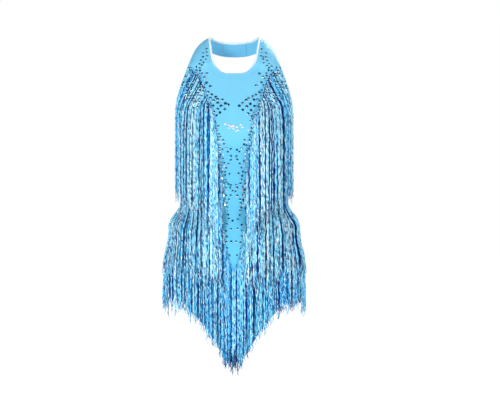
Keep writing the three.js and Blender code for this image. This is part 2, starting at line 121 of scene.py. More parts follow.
class Finish:
    """A material on a Principled shader, written with wires."""

    def __init__(self, name, **constants):
        self.material = bpy.data.materials.new(name)
        self.material.use_nodes = True
        self.tree = self.material.node_tree
        self.shader = self.tree.nodes["Principled BSDF"]
        self.surface(**constants)

    def node(self, kind, settings=None, *inputs, output=0, **named):
        made = self.tree.nodes.new(kind)
        target = getattr(made, "color_ramp", made)
        for key, value in (settings or {}).items():
            if key == "stops":
                self.set_stops(target, value)
            else:
                setattr(target, key, value)
        for place, value in [*enumerate(inputs), *named.items()]:
            self.feed(made.inputs[place], value)
        return Wire(self, made.outputs[output])

    def feed(self, socket, value):
        if isinstance(value, Wire):
            self.tree.links.new(value.socket, socket)
        else:
            socket.default_value = (*value, 1) if isinstance(value, tuple) else value

    def set_stops(self, ramp, stops):
        while len(ramp.elements) < len(stops):
            ramp.elements.new(0.5)
        for element, (at, tint) in zip(ramp.elements, stops):
            element.position = at
            element.color = (*tint, 1)

    def place(self):
        """The point on the piece, in metres."""
        return self.node("ShaderNodeTexCoord", output="Object")

    def axes(self, where):
        """The three numbers of a point."""
        split = self.node("ShaderNodeSeparateXYZ", None, where).socket.node
        return [Wire(self, socket) for socket in split.outputs]

    def attribute(self, name):
        return self.node("ShaderNodeAttribute", {"attribute_name": name}, output="Fac")

    def along(self, name):
        """The two numbers of the piece's own UV map: round a strand or across, and along it."""
        return self.axes(self.node("ShaderNodeUVMap", {"uv_map": name}))[:2]

    def noise(self, where, scale, detail=2.0):
        return self.node("ShaderNodeTexNoise", None, Vector=where, Scale=scale, Detail=detail)

    def ramp(self, value, *stops, interpolation="LINEAR"):
        """A colour read from stops, each a place from 0 to 1 and a colour."""
        settings = {"interpolation": interpolation, "stops": stops}
        return self.node("ShaderNodeValToRGB", settings, value)

    def blend(self, factor, first, second):
        """A colour between two others."""
        made = self.node("ShaderNodeMix", {"data_type": "RGBA"}, factor, output=2)
        self.feed(made.socket.node.inputs[6], first)
        self.feed(made.socket.node.inputs[7], second)
        return made

    def bump(self, height, distance, strength=1.0):
        return self.node("ShaderNodeBump", None, Strength=strength, Distance=distance, Height=height)

    def surface(self, **sockets):
        """Feeds the shader's sockets, and gives the material."""
        for name, value in sockets.items():
            self.feed(self.shader.inputs[name.replace("_", " ")], value)
        return self.material


def colour(red, green, blue):
    """A colour as printed, from 0 to 255, as the shader's linear numbers."""
    return tuple(((c / 255 + 0.055) / 1.055) ** 2.4 for c in (red, green, blue))

# %% [markdown]
# ## The studio
#
# The bodysuit hangs in the air as it is worn, so the floor lies far below it. The floor and the
# background are the same pale white and shine a little by themselves, as a lit paper roll does, and
# so no horizon shows behind the fringe. The floor shines less near the garment, because light from
# below would hide the creases in the cloth. Large soft lamps stand on both sides: fringe needs light
# from one side, because light from all round fills the gaps that make its strands readable.

# %% The lamps
# Each lamp's name, place, size in metres and power in watts.
LAMPS = [
    ("key", (-1.5, -3.0, 0.25), 1.0, 70.0),
    ("fill", (1.9, -2.7, -0.1), 1.5, 40.0),
    ("top", (0.2, -0.6, 2.0), 1.4, 16.0),
    ("back_left", (1.3, 2.2, 1.7), 1.0, 84.0),
    ("back_right", (-2.2, 2.0, -0.3), 1.4, 22.0),
]
LIT_POINT = Vector((0.0, AXIS_Y, -0.36))     # the middle of the garment, which each lamp faces

for name, at, size, power in LAMPS:
    data = bpy.data.lights.new(name, "AREA")
    data.size = size
    data.energy = power
    lamp = bpy.data.objects.new(name, data)
    lamp.location = at
    lamp.rotation_euler = (LIT_POINT - Vector(at)).to_track_quat("-Z", "Y").to_euler()
    bpy.context.collection.objects.link(lamp)
bpy.context.scene.view_settings.view_transform = "Standard"
print(len(LAMPS), "lamps")

# %% The floor and the background
FLOOR = {"height": -1.45, "radius": 30.0, "shines": 0.92, "near": 2.5, "far": 5.5, "dim": 0.4}
SEEN = {"Color": (1, 1, 1, 1), "Strength": 1.0}              # the background that the camera sees
LIGHTS = {"Color": (0.94, 0.97, 1, 1), "Strength": 0.18}     # and the one that lights the garment

bpy.ops.mesh.primitive_circle_add(
    vertices=96, radius=FLOOR["radius"], fill_type="NGON", location=(0, 0, FLOOR["height"]))
floor = bpy.context.object
floor.name = "studio_floor"

paper = Finish(
    "white_paper", Base_Color=(0.9, 0.9, 0.9), Roughness=0.9, Emission_Strength=FLOOR["shines"])
east, north, _ = paper.axes(paper.place())
away = (east * east + north * north).root()
shining = paper.ramp((away - FLOOR["near"]) / (FLOOR["far"] - FLOOR["near"]),
                     (0.0, (FLOOR["dim"],) * 3), (1.0, (1, 1, 1)))
floor.data.materials.append(paper.surface(Emission_Color=shining))

world = bpy.data.worlds.new("white_room")
world.use_nodes = True
bpy.context.scene.world = world
nodes, links = world.node_tree.nodes, world.node_tree.links
seen, lights = nodes["Background"], nodes.new("ShaderNodeBackground")
for sky, values in ((seen, SEEN), (lights, LIGHTS)):
    for socket, value in values.items():
        sky.inputs[socket].default_value = value
either = nodes.new("ShaderNodeMixShader")
links.new(nodes.new("ShaderNodeLightPath").outputs["Is Camera Ray"], either.inputs["Fac"])
links.new(lights.outputs[0], either.inputs[1])
links.new(seen.outputs[0], either.inputs[2])
links.new(either.outputs[0], nodes["World Output"].inputs["Surface"])
print("floor", -FLOOR["height"], "m under the nape")

# %% [markdown]
# ## The cloth's finish
#
# Dance costumes are cut from nylon and elastane jersey: fine ribs under a millimetre apart, a soft
# sheen, and a colour that is a little uneven. The ribs are far too fine to model, so they are a bump.
# The paler patches follow a very large, soft noise. Over the chest the colour is painted paler, as
# painted light from above.

# %% The knit
PAINTED_LIGHT_SKY = colour(107, 186, 220)
SKY = colour(80, 176, 214)
PALE_SKY = colour(90, 184, 218)
DEEP_SKY = colour(66, 168, 208)
FADES = {"from": -0.32, "over": 0.2}     # painted light: the cloth over the bust is painted palest
NOISES = {"patches": 9.0, "yarn": 900.0}         # repeats to a metre
RIBS = {"across": 9000.0, "up": 6500.0}          # a sine's radians to a metre


def knit_finish():
    knit = Finish("stretch_knit", Sheen_Weight=0.12, Sheen_Roughness=0.4, Specular_IOR_Level=0.35)
    place = knit.place()
    yarn = knit.noise(place, NOISES["yarn"], 1.0)
    tint = knit.blend(knit.noise(place, NOISES["patches"]), DEEP_SKY, PALE_SKY)
    tint = knit.blend(yarn * 0.16, tint, SKY)
    across, _, up = knit.axes(place)
    # Painted light: towards the top of the chest the cloth turns to a paler blue.
    painted_top_light = (up - FADES["from"]) / FADES["over"]
    tint = knit.blend(painted_top_light.at_most(1.0), tint, PAINTED_LIGHT_SKY)
    ribs = (across * RIBS["across"]).sine() * 0.6 + (up * RIBS["up"]).sine() * 0.4
    return knit.surface(
        Base_Color=tint,
        Roughness=yarn * 0.12 + 0.46,
        Normal=knit.bump(ribs + yarn, 0.0002, 0.35),
    )


knit = knit_finish()
print(knit.name, "of", len(knit.node_tree.nodes), "nodes")

# %% [markdown]
# ## The four cloth pieces
#
# Each piece of cloth is a shell 1.5 mm thick. The frame holds its shape as flat facets with an outer
# face, an inner face and a rim. The outer face alone is taken from a copy: its loose triangles are
# merged, the sharp rim divides it from the rest, and the largest part is the outer face. Rounding it
# by subdivision gives smooth cloth with the same edges, and it becomes a wall again at the end.
#
# Jersey on a body is stretched smooth, but never perfectly. It draws in soft lines from the strap to
# the bust, across the waist and towards the legs. Each line is given as a trough with its own length,
# depth and width, and it fades out at both ends.

# %% Handling pieces


def only(piece):
    """Selects one piece and nothing else, and makes it the active one."""
    bpy.ops.object.select_all(action="DESELECT")
    piece.select_set(True)
    bpy.context.view_layer.objects.active = piece


def new_piece(name, mesh, finish):
    piece = bpy.data.objects.new(name, mesh)
    bpy.context.collection.objects.link(piece)
    mesh.materials.clear()
    mesh.materials.append(finish)
    return piece


def apply_modifier(piece, kind, **settings):
    made = piece.modifiers.new(kind.lower(), kind)
    for key, value in settings.items():
        setattr(made, key, value)
    only(piece)
    bpy.ops.object.modifier_apply(modifier=made.name)


def points_of(mesh, kind="co"):
    """The points of a mesh, or its normals."""
    points = np.empty(3 * len(mesh.vertices))
    mesh.vertices.foreach_get(kind, points)
    return points.reshape(-1, 3)


def turns_of(points):
    """Degrees round the body from the centre front, positive to the wearer's left."""
    return np.degrees(np.arctan2(points[:, 0], AXIS_Y - points[:, 1]))

# %% Taking an outer face
RIM_ANGLE = math.radians(60)
SQUARE_ANGLES = {"angle_face_threshold": math.radians(50), "angle_shape_threshold": math.radians(70)}


def merged(node):
    """A copy of a node of the frame, with the corners of its loose triangles merged."""
    shape = bmesh.new()
    shape.from_mesh(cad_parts[node].data)
    bmesh.ops.remove_doubles(shape, verts=shape.verts, dist=1e-5)
    return shape


def outer_face(node):
    """A copy of the outer face of a wall in the frame, in four-sided facets."""
    shape = merged(node)
    parts = []
    unseen = set(shape.faces)
    while unseen:
        part = [unseen.pop()]
        for face in part:
            for edge in face.edges:
                if edge.calc_face_angle(math.pi) < RIM_ANGLE:
                    joined = [f for f in edge.link_faces if f in unseen]
                    part.extend(joined)
                    unseen.difference_update(joined)
        parts.append(part)
    outer = set(max(parts, key=lambda part: sum(face.calc_area() for face in part)))
    rest = [face for face in shape.faces if face not in outer]
    bmesh.ops.delete(shape, geom=rest, context="FACES")
    bmesh.ops.join_triangles(shape, faces=shape.faces, **SQUARE_ANGLES)
    mesh = bpy.data.meshes.new(node + "_cloth")
    shape.to_mesh(mesh)
    shape.free()
    mesh.attributes.remove(mesh.attributes["custom_normal"])     # it was made for the flat facets
    return mesh

# %% The drawn lines in the cloth
# Each is a trough: where it starts and ends, its depth and its width. A place is degrees round the
# body from the centre front, and millimetres up from the nape. Depth and width are in millimetres.
FRONT_LINES = [
    ((62, -60), (40, -150), 1.1, 11), ((-58, -64), (-44, -138), 0.9, 9),
    ((71, -92), (49, -182), 1.0, 10), ((-74, -98), (-52, -171), 1.2, 12),
    ((13, -92), (24, -140), 0.6, 9), ((-9, -101), (-27, -152), 0.8, 10),
    ((-14, -300), (12, -318), 0.8, 8), ((-16, -372), (18, -361), 1.1, 7),
    ((-5, -389), (30, -398), 0.9, 6), ((-34, -404), (6, -412), 1.0, 8),
    ((33, -176), (61, -248), 2.4, 9), ((-36, -196), (-70, -262), 2.0, 8),
    ((29, -262), (63, -322), 2.2, 7), ((-27, -248), (-58, -331), 2.6, 9),
    ((40, -560), (9, -640), 1.4, 10), ((-46, -566), (-12, -652), 1.1, 9),
]
BACK_LINES = [
    ((95, -186), (114, -284), 2.3, 8), ((-94, -205), (-116, -280), 2.8, 9),
    ((99, -298), (151, -327), 3.0, 7), ((-103, -272), (-143, -322), 2.5, 6),
    ((111, -258), (139, -302), 2.0, 6), ((-97, -303), (-161, -344), 3.0, 8),
    ((147, -336), (187, -350), 2.4, 6), ((-129, -282), (-177, -327), 1.8, 5),
    ((92, -236), (104, -309), 1.6, 6), ((170, -420), (138, -500), 2.4, 11),
    ((-172, -428), (-134, -512), 2.0, 10), ((118, -600), (158, -648), 2.7, 10),
    ((-122, -606), (-162, -641), 2.3, 9), ((176, -560), (179, -660), 3.0, 9),
]
MEAN_REACH = 0.12        # metres from the body's axis, to turn degrees into lengths
HALF_ROUND = math.pi * MEAN_REACH
RIDGE = {"high": 0.35, "away": 1.7, "wide": 0.8}     # a low ridge beside each trough, in its sizes


def draw_lines(mesh, lines):
    """Presses troughs into a cloth face, along its normals."""
    points, normals = points_of(mesh), points_of(mesh, "normal")
    turns = turns_of(points) % 360
    spot = np.stack([np.radians(turns) * MEAN_REACH, points[:, 2]], axis=1)
    depth = np.zeros(len(points))
    for *ends, deep, wide in lines:
        start, end = (np.array([math.radians(turn % 360) * MEAN_REACH, up / 1000])
                      for turn, up in ends)
        run, away = end - start, spot - start
        for way in (run, away.T):
            way[0] = (way[0] + HALF_ROUND) % (2 * HALF_ROUND) - HALF_ROUND
        share = (away @ run) / (run @ run)
        aside = np.abs(away @ np.array([-run[1], run[0]])) / np.linalg.norm(run)
        fade = np.sin(np.pi * np.clip(share, 0, 1)) ** 2
        across = aside / (wide / 1000)
        ridge = RIDGE["high"] * np.exp(-((across - RIDGE["away"]) / RIDGE["wide"]) ** 2)
        depth += deep / 1000 * fade * (np.exp(-across ** 2) - ridge)
    points -= depth[:, None] * normals
    mesh.vertices.foreach_set("co", points.ravel())
    mesh.update()

# %% Making the four pieces
LINES = {"front_panel": FRONT_LINES, "back_panel": BACK_LINES, "gusset": [], "neck_band": []}

panels = {}
for node, lines in LINES.items():
    panel = new_piece("cloth_" + node, outer_face(node), knit)
    apply_modifier(
        panel, "SUBSURF", levels=2, render_levels=2, boundary_smooth="PRESERVE_CORNERS")
    draw_lines(panel.data, lines)
    panel.data.shade_smooth()
    panels[node] = panel
    print(node, len(panel.data.polygons), "facets")

# %% [markdown]
# ## The figure's reach
#
# Strands and stones are laid on the cloth, so their places start from it. A ray that is shot at the
# four faces finds it exactly, but slowly. Strands ask for it a million times, so its distance from
# the body's axis is measured once, on a grid of turns and heights, and then read between them.

# %% Finding a surface
FAR = 0.5                # metres from the axis, well outside the garment


def joined_tree(meshes):
    points, faces = [], []
    for mesh in meshes:
        start = len(points)
        points.extend(v.co.copy() for v in mesh.vertices)
        faces.extend([start + v for v in face.vertices] for face in mesh.polygons)
    return BVHTree.FromPolygons(points, faces)


def reach_of(tree, turn, up, from_axis=False):
    """How far a surface reaches from the body's axis, met from outside or from it, or 0 for none."""
    angle = math.radians(turn)
    way = Vector((math.sin(angle), -math.cos(angle), 0))
    start = Vector((0, AXIS_Y, up))
    if from_axis:
        return tree.ray_cast(start, way, FAR)[3] or 0.0
    start += way * FAR
    hit = tree.ray_cast(start, -way, FAR)[0]
    return FAR - (hit - start).length if hit else 0.0

# %% Maps of reach


class ReachMap:
    """A surface's reach, measured on a grid of turns and heights and read between them."""

    TURN_STEP = 2.0          # degrees
    UP_STEP = 0.005
    TURNS = np.arange(-181, 182, TURN_STEP)      # odd, so none falls in a seam's gap
    UPS = np.arange(-0.74, 0.02, UP_STEP)
    ONWARD = (0.92, 1.08)    # the least and the most of the last reach that is carried on
    LEAST_REACH = 0.02
    MOST_TILT = 1.8

    def __init__(self, tree, **settings):
        self.grid = np.array(
            [[reach_of(tree, turn, up, **settings) for up in self.UPS] for turn in self.TURNS])

    def carry_on(self, cells):
        """Carries the surface on past its upright edges, in line with its last two cells."""
        for way in (1, -1) * cells:
            last, before = np.roll(self.grid, way, axis=0), np.roll(self.grid, 2 * way, axis=0)
            onward = np.clip(2 * last - before, *(last * share for share in self.ONWARD))
            self.grid = np.where((self.grid == 0) & (before > 0), onward, self.grid)

    def tilts(self):
        """How much longer a thing's way out from the axis is than its height over the surface."""
        over = np.gradient(self.grid, self.UP_STEP, axis=1)
        round_it = np.gradient(self.grid, math.radians(self.TURN_STEP), axis=0)
        round_it /= np.maximum(self.grid, self.LEAST_REACH)
        return np.clip(np.sqrt(1 + over ** 2 + round_it ** 2), 1, self.MOST_TILT)

    def at(self, turn, up, grid=None):
        """The reach at any places, or another grid's value there."""
        turn = (np.asarray(turn) + 180) % 360 - 180
        row = np.clip((turn - self.TURNS[0]) / self.TURN_STEP, 0, len(self.TURNS) - 1.001)
        column = np.clip((up - self.UPS[0]) / self.UP_STEP, 0, len(self.UPS) - 1.001)
        r, c = row.astype(int), column.astype(int)
        fr, fc = row - r, column - c
        g = self.grid if grid is None else grid
        return ((1 - fr) * ((1 - fc) * g[r, c] + fc * g[r, c + 1])
                + fr * ((1 - fc) * g[r + 1, c] + fc * g[r + 1, c + 1]))


cloth_tree = joined_tree([panel.data for panel in panels.values()])
cloth_reach = ReachMap(cloth_tree)
cloth_reach.carry_on(3)
cloth_tilt = cloth_reach.tilts()
print("cloth reach map", cloth_reach.grid.shape)

# %% [markdown]
# ## The curtains that the fringe hangs in
#
# Each tier of fringe is a plain curtain in the frame. It says from where to where the strands hang,
# and how far out the tiers under it push them. So each curtain is measured like the cloth, and its
# top and its hem are found at every degree: first roughly, and then by halving the step.

# %% The tiers of fringe in the frame
TIERS = ("chest_fringe", "waist_fringe", "hip_fringe")
SIDES = {"left": 1, "right": -1}
LOWEST = -0.75           # metres from the nape, under every hem
ROUGH_STEP = 0.004
HALVINGS = 4
END_ROOM = 0.3           # degrees kept clear of a curtain's upright ends


class Curtain:
    """One length of fringe in the frame: its inner reach, and its top and hem at each turn."""

    def __init__(self, node, side):
        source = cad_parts[node].data
        tree = joined_tree([source])
        self.inner = ReachMap(tree, from_axis=True)
        self.side = side
        spread = np.sort(np.abs(turns_of(points_of(source))))
        self.turns = np.arange(spread[0] + END_ROOM, spread[-1] - END_ROOM, 1.0)
        self.tops, self.hems = np.array([self.edges_at(tree, side * turn) for turn in self.turns]).T

    def edges_at(self, tree, turn):
        """The highest and the lowest place where the curtain hangs at a turn."""
        ups = np.arange(LOWEST, 0.0, ROUGH_STEP)
        held = [up for up in ups if reach_of(tree, turn, up, from_axis=True) > 0]
        edges = []
        for up, step in ((held[-1], ROUGH_STEP), (held[0], -ROUGH_STEP)):
            for _ in range(HALVINGS):
                step /= 2
                if reach_of(tree, turn, up + step, from_axis=True) > 0:
                    up += step
            edges.append(up)
        return edges

    def hem(self, turn):
        return np.interp(np.abs(turn), self.turns, self.hems)


curtains = {(tier, side): Curtain(tier + "_" + side, SIDES[side]) for tier in TIERS for side in SIDES}
for key, curtain in curtains.items():
    print(key, len(curtain.turns), "turns, top", round(curtain.tops.max(), 3),
          "hem", round(curtain.hems.min(), 3))

# %% [markdown]
# ## The fringe's finish
#
# Stage fringe is a shiny two-ply cord. Each length is rayon yarn twisted with a thin metal thread, so
# it glints in specks: here a white one, there a dark one, wherever the thread turns to or from the
# light. The pattern follows each strand's own map, whose first number goes once round the strand and
# whose second runs down it in metres. Each strand also carries a tone of its own, because no two
# hang in the same light, and some lie so deep that they look navy blue.

# %% The twisted cord
PLY_TURN = 0.009         # metres of cord for one turn of its two plies
SPECK = 0.0042           # length of one glint
STRETCH = 0.014          # length over which a strand stays equally lit
SPECKS = {"bright": 0.88, "dark": 0.23}      # where chance puts a glint, and where a shadow
DEEP_TO_PALE = (
    (0.0, colour(2, 14, 108)), (0.14, colour(0, 50, 126)), (0.3, colour(0, 108, 188)),
    (0.46, colour(72, 190, 252)), (0.66, colour(136, 224, 255)), (0.94, colour(194, 242, 255)))
SHADOW = colour(0, 60, 142)
GLINT = colour(240, 252, 255)
GREYER_END = colour(180, 206, 240)
SHADE_NAVY = colour(2, 24, 92)


def cord_finish():
    cord = Finish("twisted_fringe", Specular_IOR_Level=0.06)
    tone, drop = cord.attribute("tone"), cord.attribute("drop")
    round_it, down = cord.along("strand_map")
    groove = ((round_it * 2 - down / PLY_TURN).part() * math.tau).sine()
    turning = (down / SPECK + round_it * 2 + tone * 30).whole()
    cell = cord.node("ShaderNodeCombineXYZ", None, tone * 50, turning, tone * 40)
    speck = cord.node("ShaderNodeTexWhiteNoise", {"noise_dimensions": "3D"}, cell)
    longer = cord.node("ShaderNodeCombineXYZ", None, tone * 700, down / STRETCH, tone * 200)
    drift = cord.noise(longer, 1.0, 1.0)
    glint = speck > SPECKS["bright"]
    shadow = speck < SPECKS["dark"]
    # The ply's groove moves the tone a little too, as painted shade and painted light round the twist.
    tint = cord.ramp(tone + groove * 0.05 + (drift - 0.5) * 0.36, *DEEP_TO_PALE)
    for factor, other in (
            # the last pair blends the strands to a paler grey-blue towards their ends
            (shadow * 0.78, SHADOW), (glint * tone, GLINT), (drop * drop * 0.2, GREYER_END),
            # painted shade in navy at the centre of the hip tier's hem
            (cord.attribute("bunched"), SHADE_NAVY)):
        tint = cord.blend(factor, tint, other)
    return cord.surface(
        Base_Color=tint,
        Metallic=glint * 0.5,
        Roughness=0.52 - glint * 0.24,
        Normal=cord.bump(groove, 0.0003, 0.8),
    )


cord = cord_finish()
print(cord.name, "of", len(cord.node_tree.nodes), "nodes")

# %% [markdown]
# ## Making strands
#
# A strand is a fine twisted cord, so it is a tube whose section is a little flat and turns as it
# goes down, as two plies do. Thousands of separate curves would be slow, so a whole length of fringe
# is one joined mesh. `tubes` takes the middle of every ring of every strand as one array and gives
# the walls, the closed ends and the strand's map. A second map gives each facet a place of its own
# on one sheet, for a finish that is baked.

# %% Sections and maps
CORNERS = 5
PLY_FLAT = 0.2           # how much wider than round the section is, and how much thinner


def unit(vectors):
    return vectors / np.linalg.norm(vectors, axis=-1, keepdims=True)


def lengths_along(points):
    """How far along a line each of its points is."""
    return np.append(0, np.linalg.norm(np.diff(points, axis=0), axis=1).cumsum())


def round_the_body(turn, reach, up):
    """Points from degrees round the body, reaches from its axis and heights."""
    angle = np.radians(turn)
    return np.stack([reach * np.sin(angle), AXIS_Y - reach * np.cos(angle), up], axis=-1)


def section_points(middles, radii, spins):
    """The corners of every ring of every strand, on a section that lies across the strand."""
    ways = unit(np.gradient(middles, axis=1))
    outward = (middles - np.array([0, AXIS_Y, 0])) * [1, 1, 0]
    sideways = unit(np.cross(ways, outward))
    outward = np.cross(sideways, ways)
    corner = np.arange(CORNERS) / CORNERS * math.tau
    wide = radii[..., None] * (1 + PLY_FLAT) * np.cos(corner)
    deep = radii[..., None] * (1 - PLY_FLAT) * np.sin(corner)
    turned = spins[..., None]
    out = (wide * np.cos(turned) - deep * np.sin(turned))[..., None]
    aside = (wide * np.sin(turned) + deep * np.cos(turned))[..., None]
    return middles[:, :, None] + out * outward[:, :, None] + aside * sideways[:, :, None]


def walls_between(ring, ahead):
    """Four-sided facets from the numbered corners of rings to those of the rings ahead."""
    beside, beyond = np.roll(ring, -1, axis=-1), np.roll(ahead, -1, axis=-1)
    return np.stack([ring, beside, beyond, ahead], axis=-1).reshape(-1, 4).tolist()


def wall_corners(walls, corners):
    """The numbers of the ring and of the corner in it, at all four corners of the same facets."""
    r, k = np.meshgrid(np.arange(walls), np.arange(corners), indexing="ij")
    return np.stack([r, r, r + 1, r + 1], axis=-1), np.stack([k, k + 1, k + 1, k], axis=-1)


def add_map(mesh, name, u, v, ends=()):
    """A UV map from both numbers at every facet's corners, and then those of the closed ends."""
    flat = np.stack(np.broadcast_arrays(u, v), axis=-1).reshape(-1, 2)
    flat = np.concatenate([flat, np.reshape(ends, (-1, 2))])
    mesh.uv_layers.new(name=name).uv.foreach_set("vector", flat.astype(np.float32).ravel())

# %% Tubes from rings
SHEET_ROWS = 2
SHEET_EDGE = {"aside": 0.05, "up": 0.02, "end": 0.03}    # room round a strand's place on the sheet


def add_strand_maps(mesh, middles):
    strands, rings = middles.shape[:2]
    ring, corner = wall_corners(rings - 1, CORNERS)
    length = np.array([lengths_along(line) for line in middles])
    per_row = -(-strands // SHEET_ROWS)
    row, column = np.divmod(np.arange(strands), per_row)
    across = SHEET_EDGE["aside"] + (1 - 2 * SHEET_EDGE["aside"]) * corner / CORNERS
    down = SHEET_EDGE["up"] + (1 - 2 * SHEET_EDGE["up"]) * ring / (rings - 1)
    ends = [np.stack([(column + 0.5) / per_row, (row + edge) / SHEET_ROWS], axis=-1)
            for edge in (SHEET_EDGE["end"], 1 - SHEET_EDGE["end"])]
    ends = np.repeat(np.concatenate(ends), CORNERS, axis=0)
    add_map(mesh, "strand_map", corner / CORNERS, length[:, ring], 0 * ends)
    row, column = row[:, None, None, None], column[:, None, None, None]
    add_map(mesh, "OFBake", (column + across) / per_row, (row + down) / SHEET_ROWS, ends)


def tubes(name, finish, middles, radii, spins, **carried):
    """Joined tubes. middles is strands by rings by 3, and all the others are strands by rings."""
    points = section_points(middles, radii, spins)
    number = np.arange(points[..., 0].size).reshape(points.shape[:3])
    walls = walls_between(number[:, :-1], number[:, 1:])
    mesh = bpy.data.meshes.new(name)
    mesh.from_pydata(points.reshape(-1, 3).tolist(), [],
                     [*walls, *number[:, 0, ::-1].tolist(), *number[:, -1].tolist()])
    add_strand_maps(mesh, middles)
    for label, values in carried.items():
        layer = mesh.attributes.new(label, "FLOAT", "POINT")
        spread = np.broadcast_to(values[..., None], number.shape)
        layer.data.foreach_set("value", spread.astype(np.float32).ravel())
    mesh.shade_smooth()
    return new_piece(name, mesh, finish)

# %% [markdown]
# ## Hanging the fringe
#
# Fringe trim is a braided heading with strands looped through it. The heading is stitched to the
# cloth along the tier's top line, and the strands fall straight down from it. A falling strand
# touches the widest place above it and hangs clear below, so at every ring its reach from the axis
# is the largest that it has passed, on the cloth or on the tier under it. Seen from the front a
# strand falls upright. Only at the sides, where the hips come out from under it, it goes out with
# them.
#
# Strands stick together in clumps of up to four, which leaves the long dark gaps that make fringe look
# like fringe. So each clump has its own sway and its own length, and its strands share them. A
# second layer behind is thinner, and painted darker as painted shade. The heads of the chest tier
# run on up the strap, and from there the strands fan outwards over the chest before they hang.

# %% Where each heading is sewn on
HEAD_STEP = 0.001
SHORTEST = 0.06                          # the trim ends where the curtain hangs less than this
CHEST_HEADS_TO = 56                      # degrees, and from there they run on up the strap
HEADS_ON_STRAP = [(60.0, -0.076), (65.5, -0.063), (69.5, -0.052)]
STRIP_EDGE = {"up": -0.286, "over": 0.040, "out": 2.6}  # the trim bows out beside the strip


def heading_line(tier, curtain):
    """The lengths, turns and heights of a tier's heading, a millimetre apart."""
    long_enough = curtain.tops - curtain.hems > SHORTEST
    turns, ups = curtain.turns[long_enough], curtain.tops[long_enough]
    if tier == "chest_fringe":
        kept = turns <= CHEST_HEADS_TO
        strap_turns, strap_ups = zip(*HEADS_ON_STRAP)
        turns, ups = np.append(turns[kept], strap_turns), np.append(ups[kept], strap_ups)
        near_strip = np.exp(-((ups - STRIP_EDGE["up"]) / STRIP_EDGE["over"]) ** 2)
        turns = turns + STRIP_EDGE["out"] * near_strip
    ups = np.convolve(np.pad(ups, 2, mode="edge"), np.ones(5) / 5, mode="valid")
    along = lengths_along(round_the_body(turns, cloth_reach.at(curtain.side * turns, ups), ups))
    even = np.arange(0, along[-1], HEAD_STEP)
    return even, np.interp(even, along, turns), np.interp(even, along, ups)


heading_lines = {key: heading_line(key[0], curtain) for key, curtain in curtains.items()}
for key, (even, _, _) in heading_lines.items():
    print(key, "heading", round(even[-1], 3), "m long")

# %% The sizes of the fringe
PITCH = {"first": 0.001, "in_clump": 0.0021, "under_first": 0.002, "under": 0.0031}
CLUMP = {"strands": (1, 1, 2, 2, 3, 4), "gaps": (0.0028, 0.0034, 0.0042, 0.0054)}
STRAND = {"radius": 0.0012, "end": 0.0007, "ring_gap": 0.005, "thins_over": 0.03, "uneven": 0.1,
          "wispy": 0.3}          # the share of its thickness that a wisp loses at its end
LIFT = {"cloth": 0.0022, "curtain": 0.0010, "layer": 0.0021, "own": 0.0003, "clump": 0.0005,
        "deeper": 2.4,           # a strand in deep shade lies this many clump lifts further in
        "sinks": 0.0004}         # how far a strand may lie into the cloth's own lift
# Heads on the chest past 29 degrees fan out by up to 40 more.
FAN = {"from": 29.0, "more": 40.0, "grows": 1.2, "slope": 1.5, "least": 0.004, "eases": 1.4}
LOOKS = {
    "chest_fringe": {"sway": 0.0035, "ragged": 0.007, "shorter": 0.004, "upright": (80, 110),
                     "tone": 0.68, "deep": 0.08},
    "waist_fringe": {"sway": 0.0030, "ragged": 0.010, "shorter": 0.008, "upright": (38, 74),
                     "tone": 0.72, "deep": 0.07},
    "hip_fringe": {"sway": 0.0040, "ragged": 0.006, "shorter": 0.012, "upright": (38, 74),
                   "tone": 0.565, "deep": 0.12},
}                        # upright: heads up to the first turn fall plumb, and past the second don't
ROUGH_RINGS = 60
HEM = {"clump": 0.5, "own": 0.8, "under": 0.009, "least": 0.04,
       "centre": 30.0, "least_shorter": 0.25, "least_longer": 0.15}     # they differ less near it
WISPS = {"share": 0.3, "mean": 0.012, "most": 0.030}
WAVE = {"clump": 0.0005, "own": 0.0003, "out": 0.5, "grows": 8}     # it wavers as it falls
WAVE_LENGTH = {"clump": (0.025, 0.05), "own": (0.02, 0.045)}
SWING = {"clump": 0.55, "own": 0.22, "grows": 1.5, "strip": 16.0, "centre": 12.0, "least": 0.1}
# Its end curls like a spring.
CURL = {"size": 0.0016, "wisp": 0.0014, "pitch": 0.017, "over": 0.026, "grows": 1.6, "out": 0.8}
TONES = {"under": 0.07, "deep": 0.07, "clump": 0.06, "own": 0.10, "least": 0.34, "most": 0.94,
         "under_clump": 0.04, "dark_own": 0.03, "under_side": 0.4, "side": 76.0, "side_over": 8.0}
PAINTED_CENTRE_SHADE = {"within": 7.0, "from": 0.76, "to": 0.88, "most": 0.8}   # painted shade: the ends at the centre are painted navy, as the shade under the crotch


def clumped(length):
    """Places along a heading in clumps, and which clump each belongs to."""
    places, clumps = [], []
    at, clump = PITCH["first"], 0
    while at < length:
        for _ in range(rng.choice(CLUMP["strands"])):
            places.append(at)
            clumps.append(clump)
            at += PITCH["in_clump"]
        at += rng.choice(CLUMP["gaps"]) - PITCH["in_clump"]
        clump += 1
    places, clumps = np.array(places), np.array(clumps)
    return places[places < length], clumps[places < length]


def smooth_rows(values, width):
    kernel = np.hanning(width + 2)[1:-1]
    padded = np.pad(values, ((0, 0), (width // 2, width // 2)), mode="edge")
    return np.array([np.convolve(row, kernel / kernel.sum(), mode="valid") for row in padded])


def from_the_front(turn):
    """Degrees from the centre front or the centre back, whichever is nearer."""
    return np.minimum(turn, 180 - turn)

# %% What differs by chance


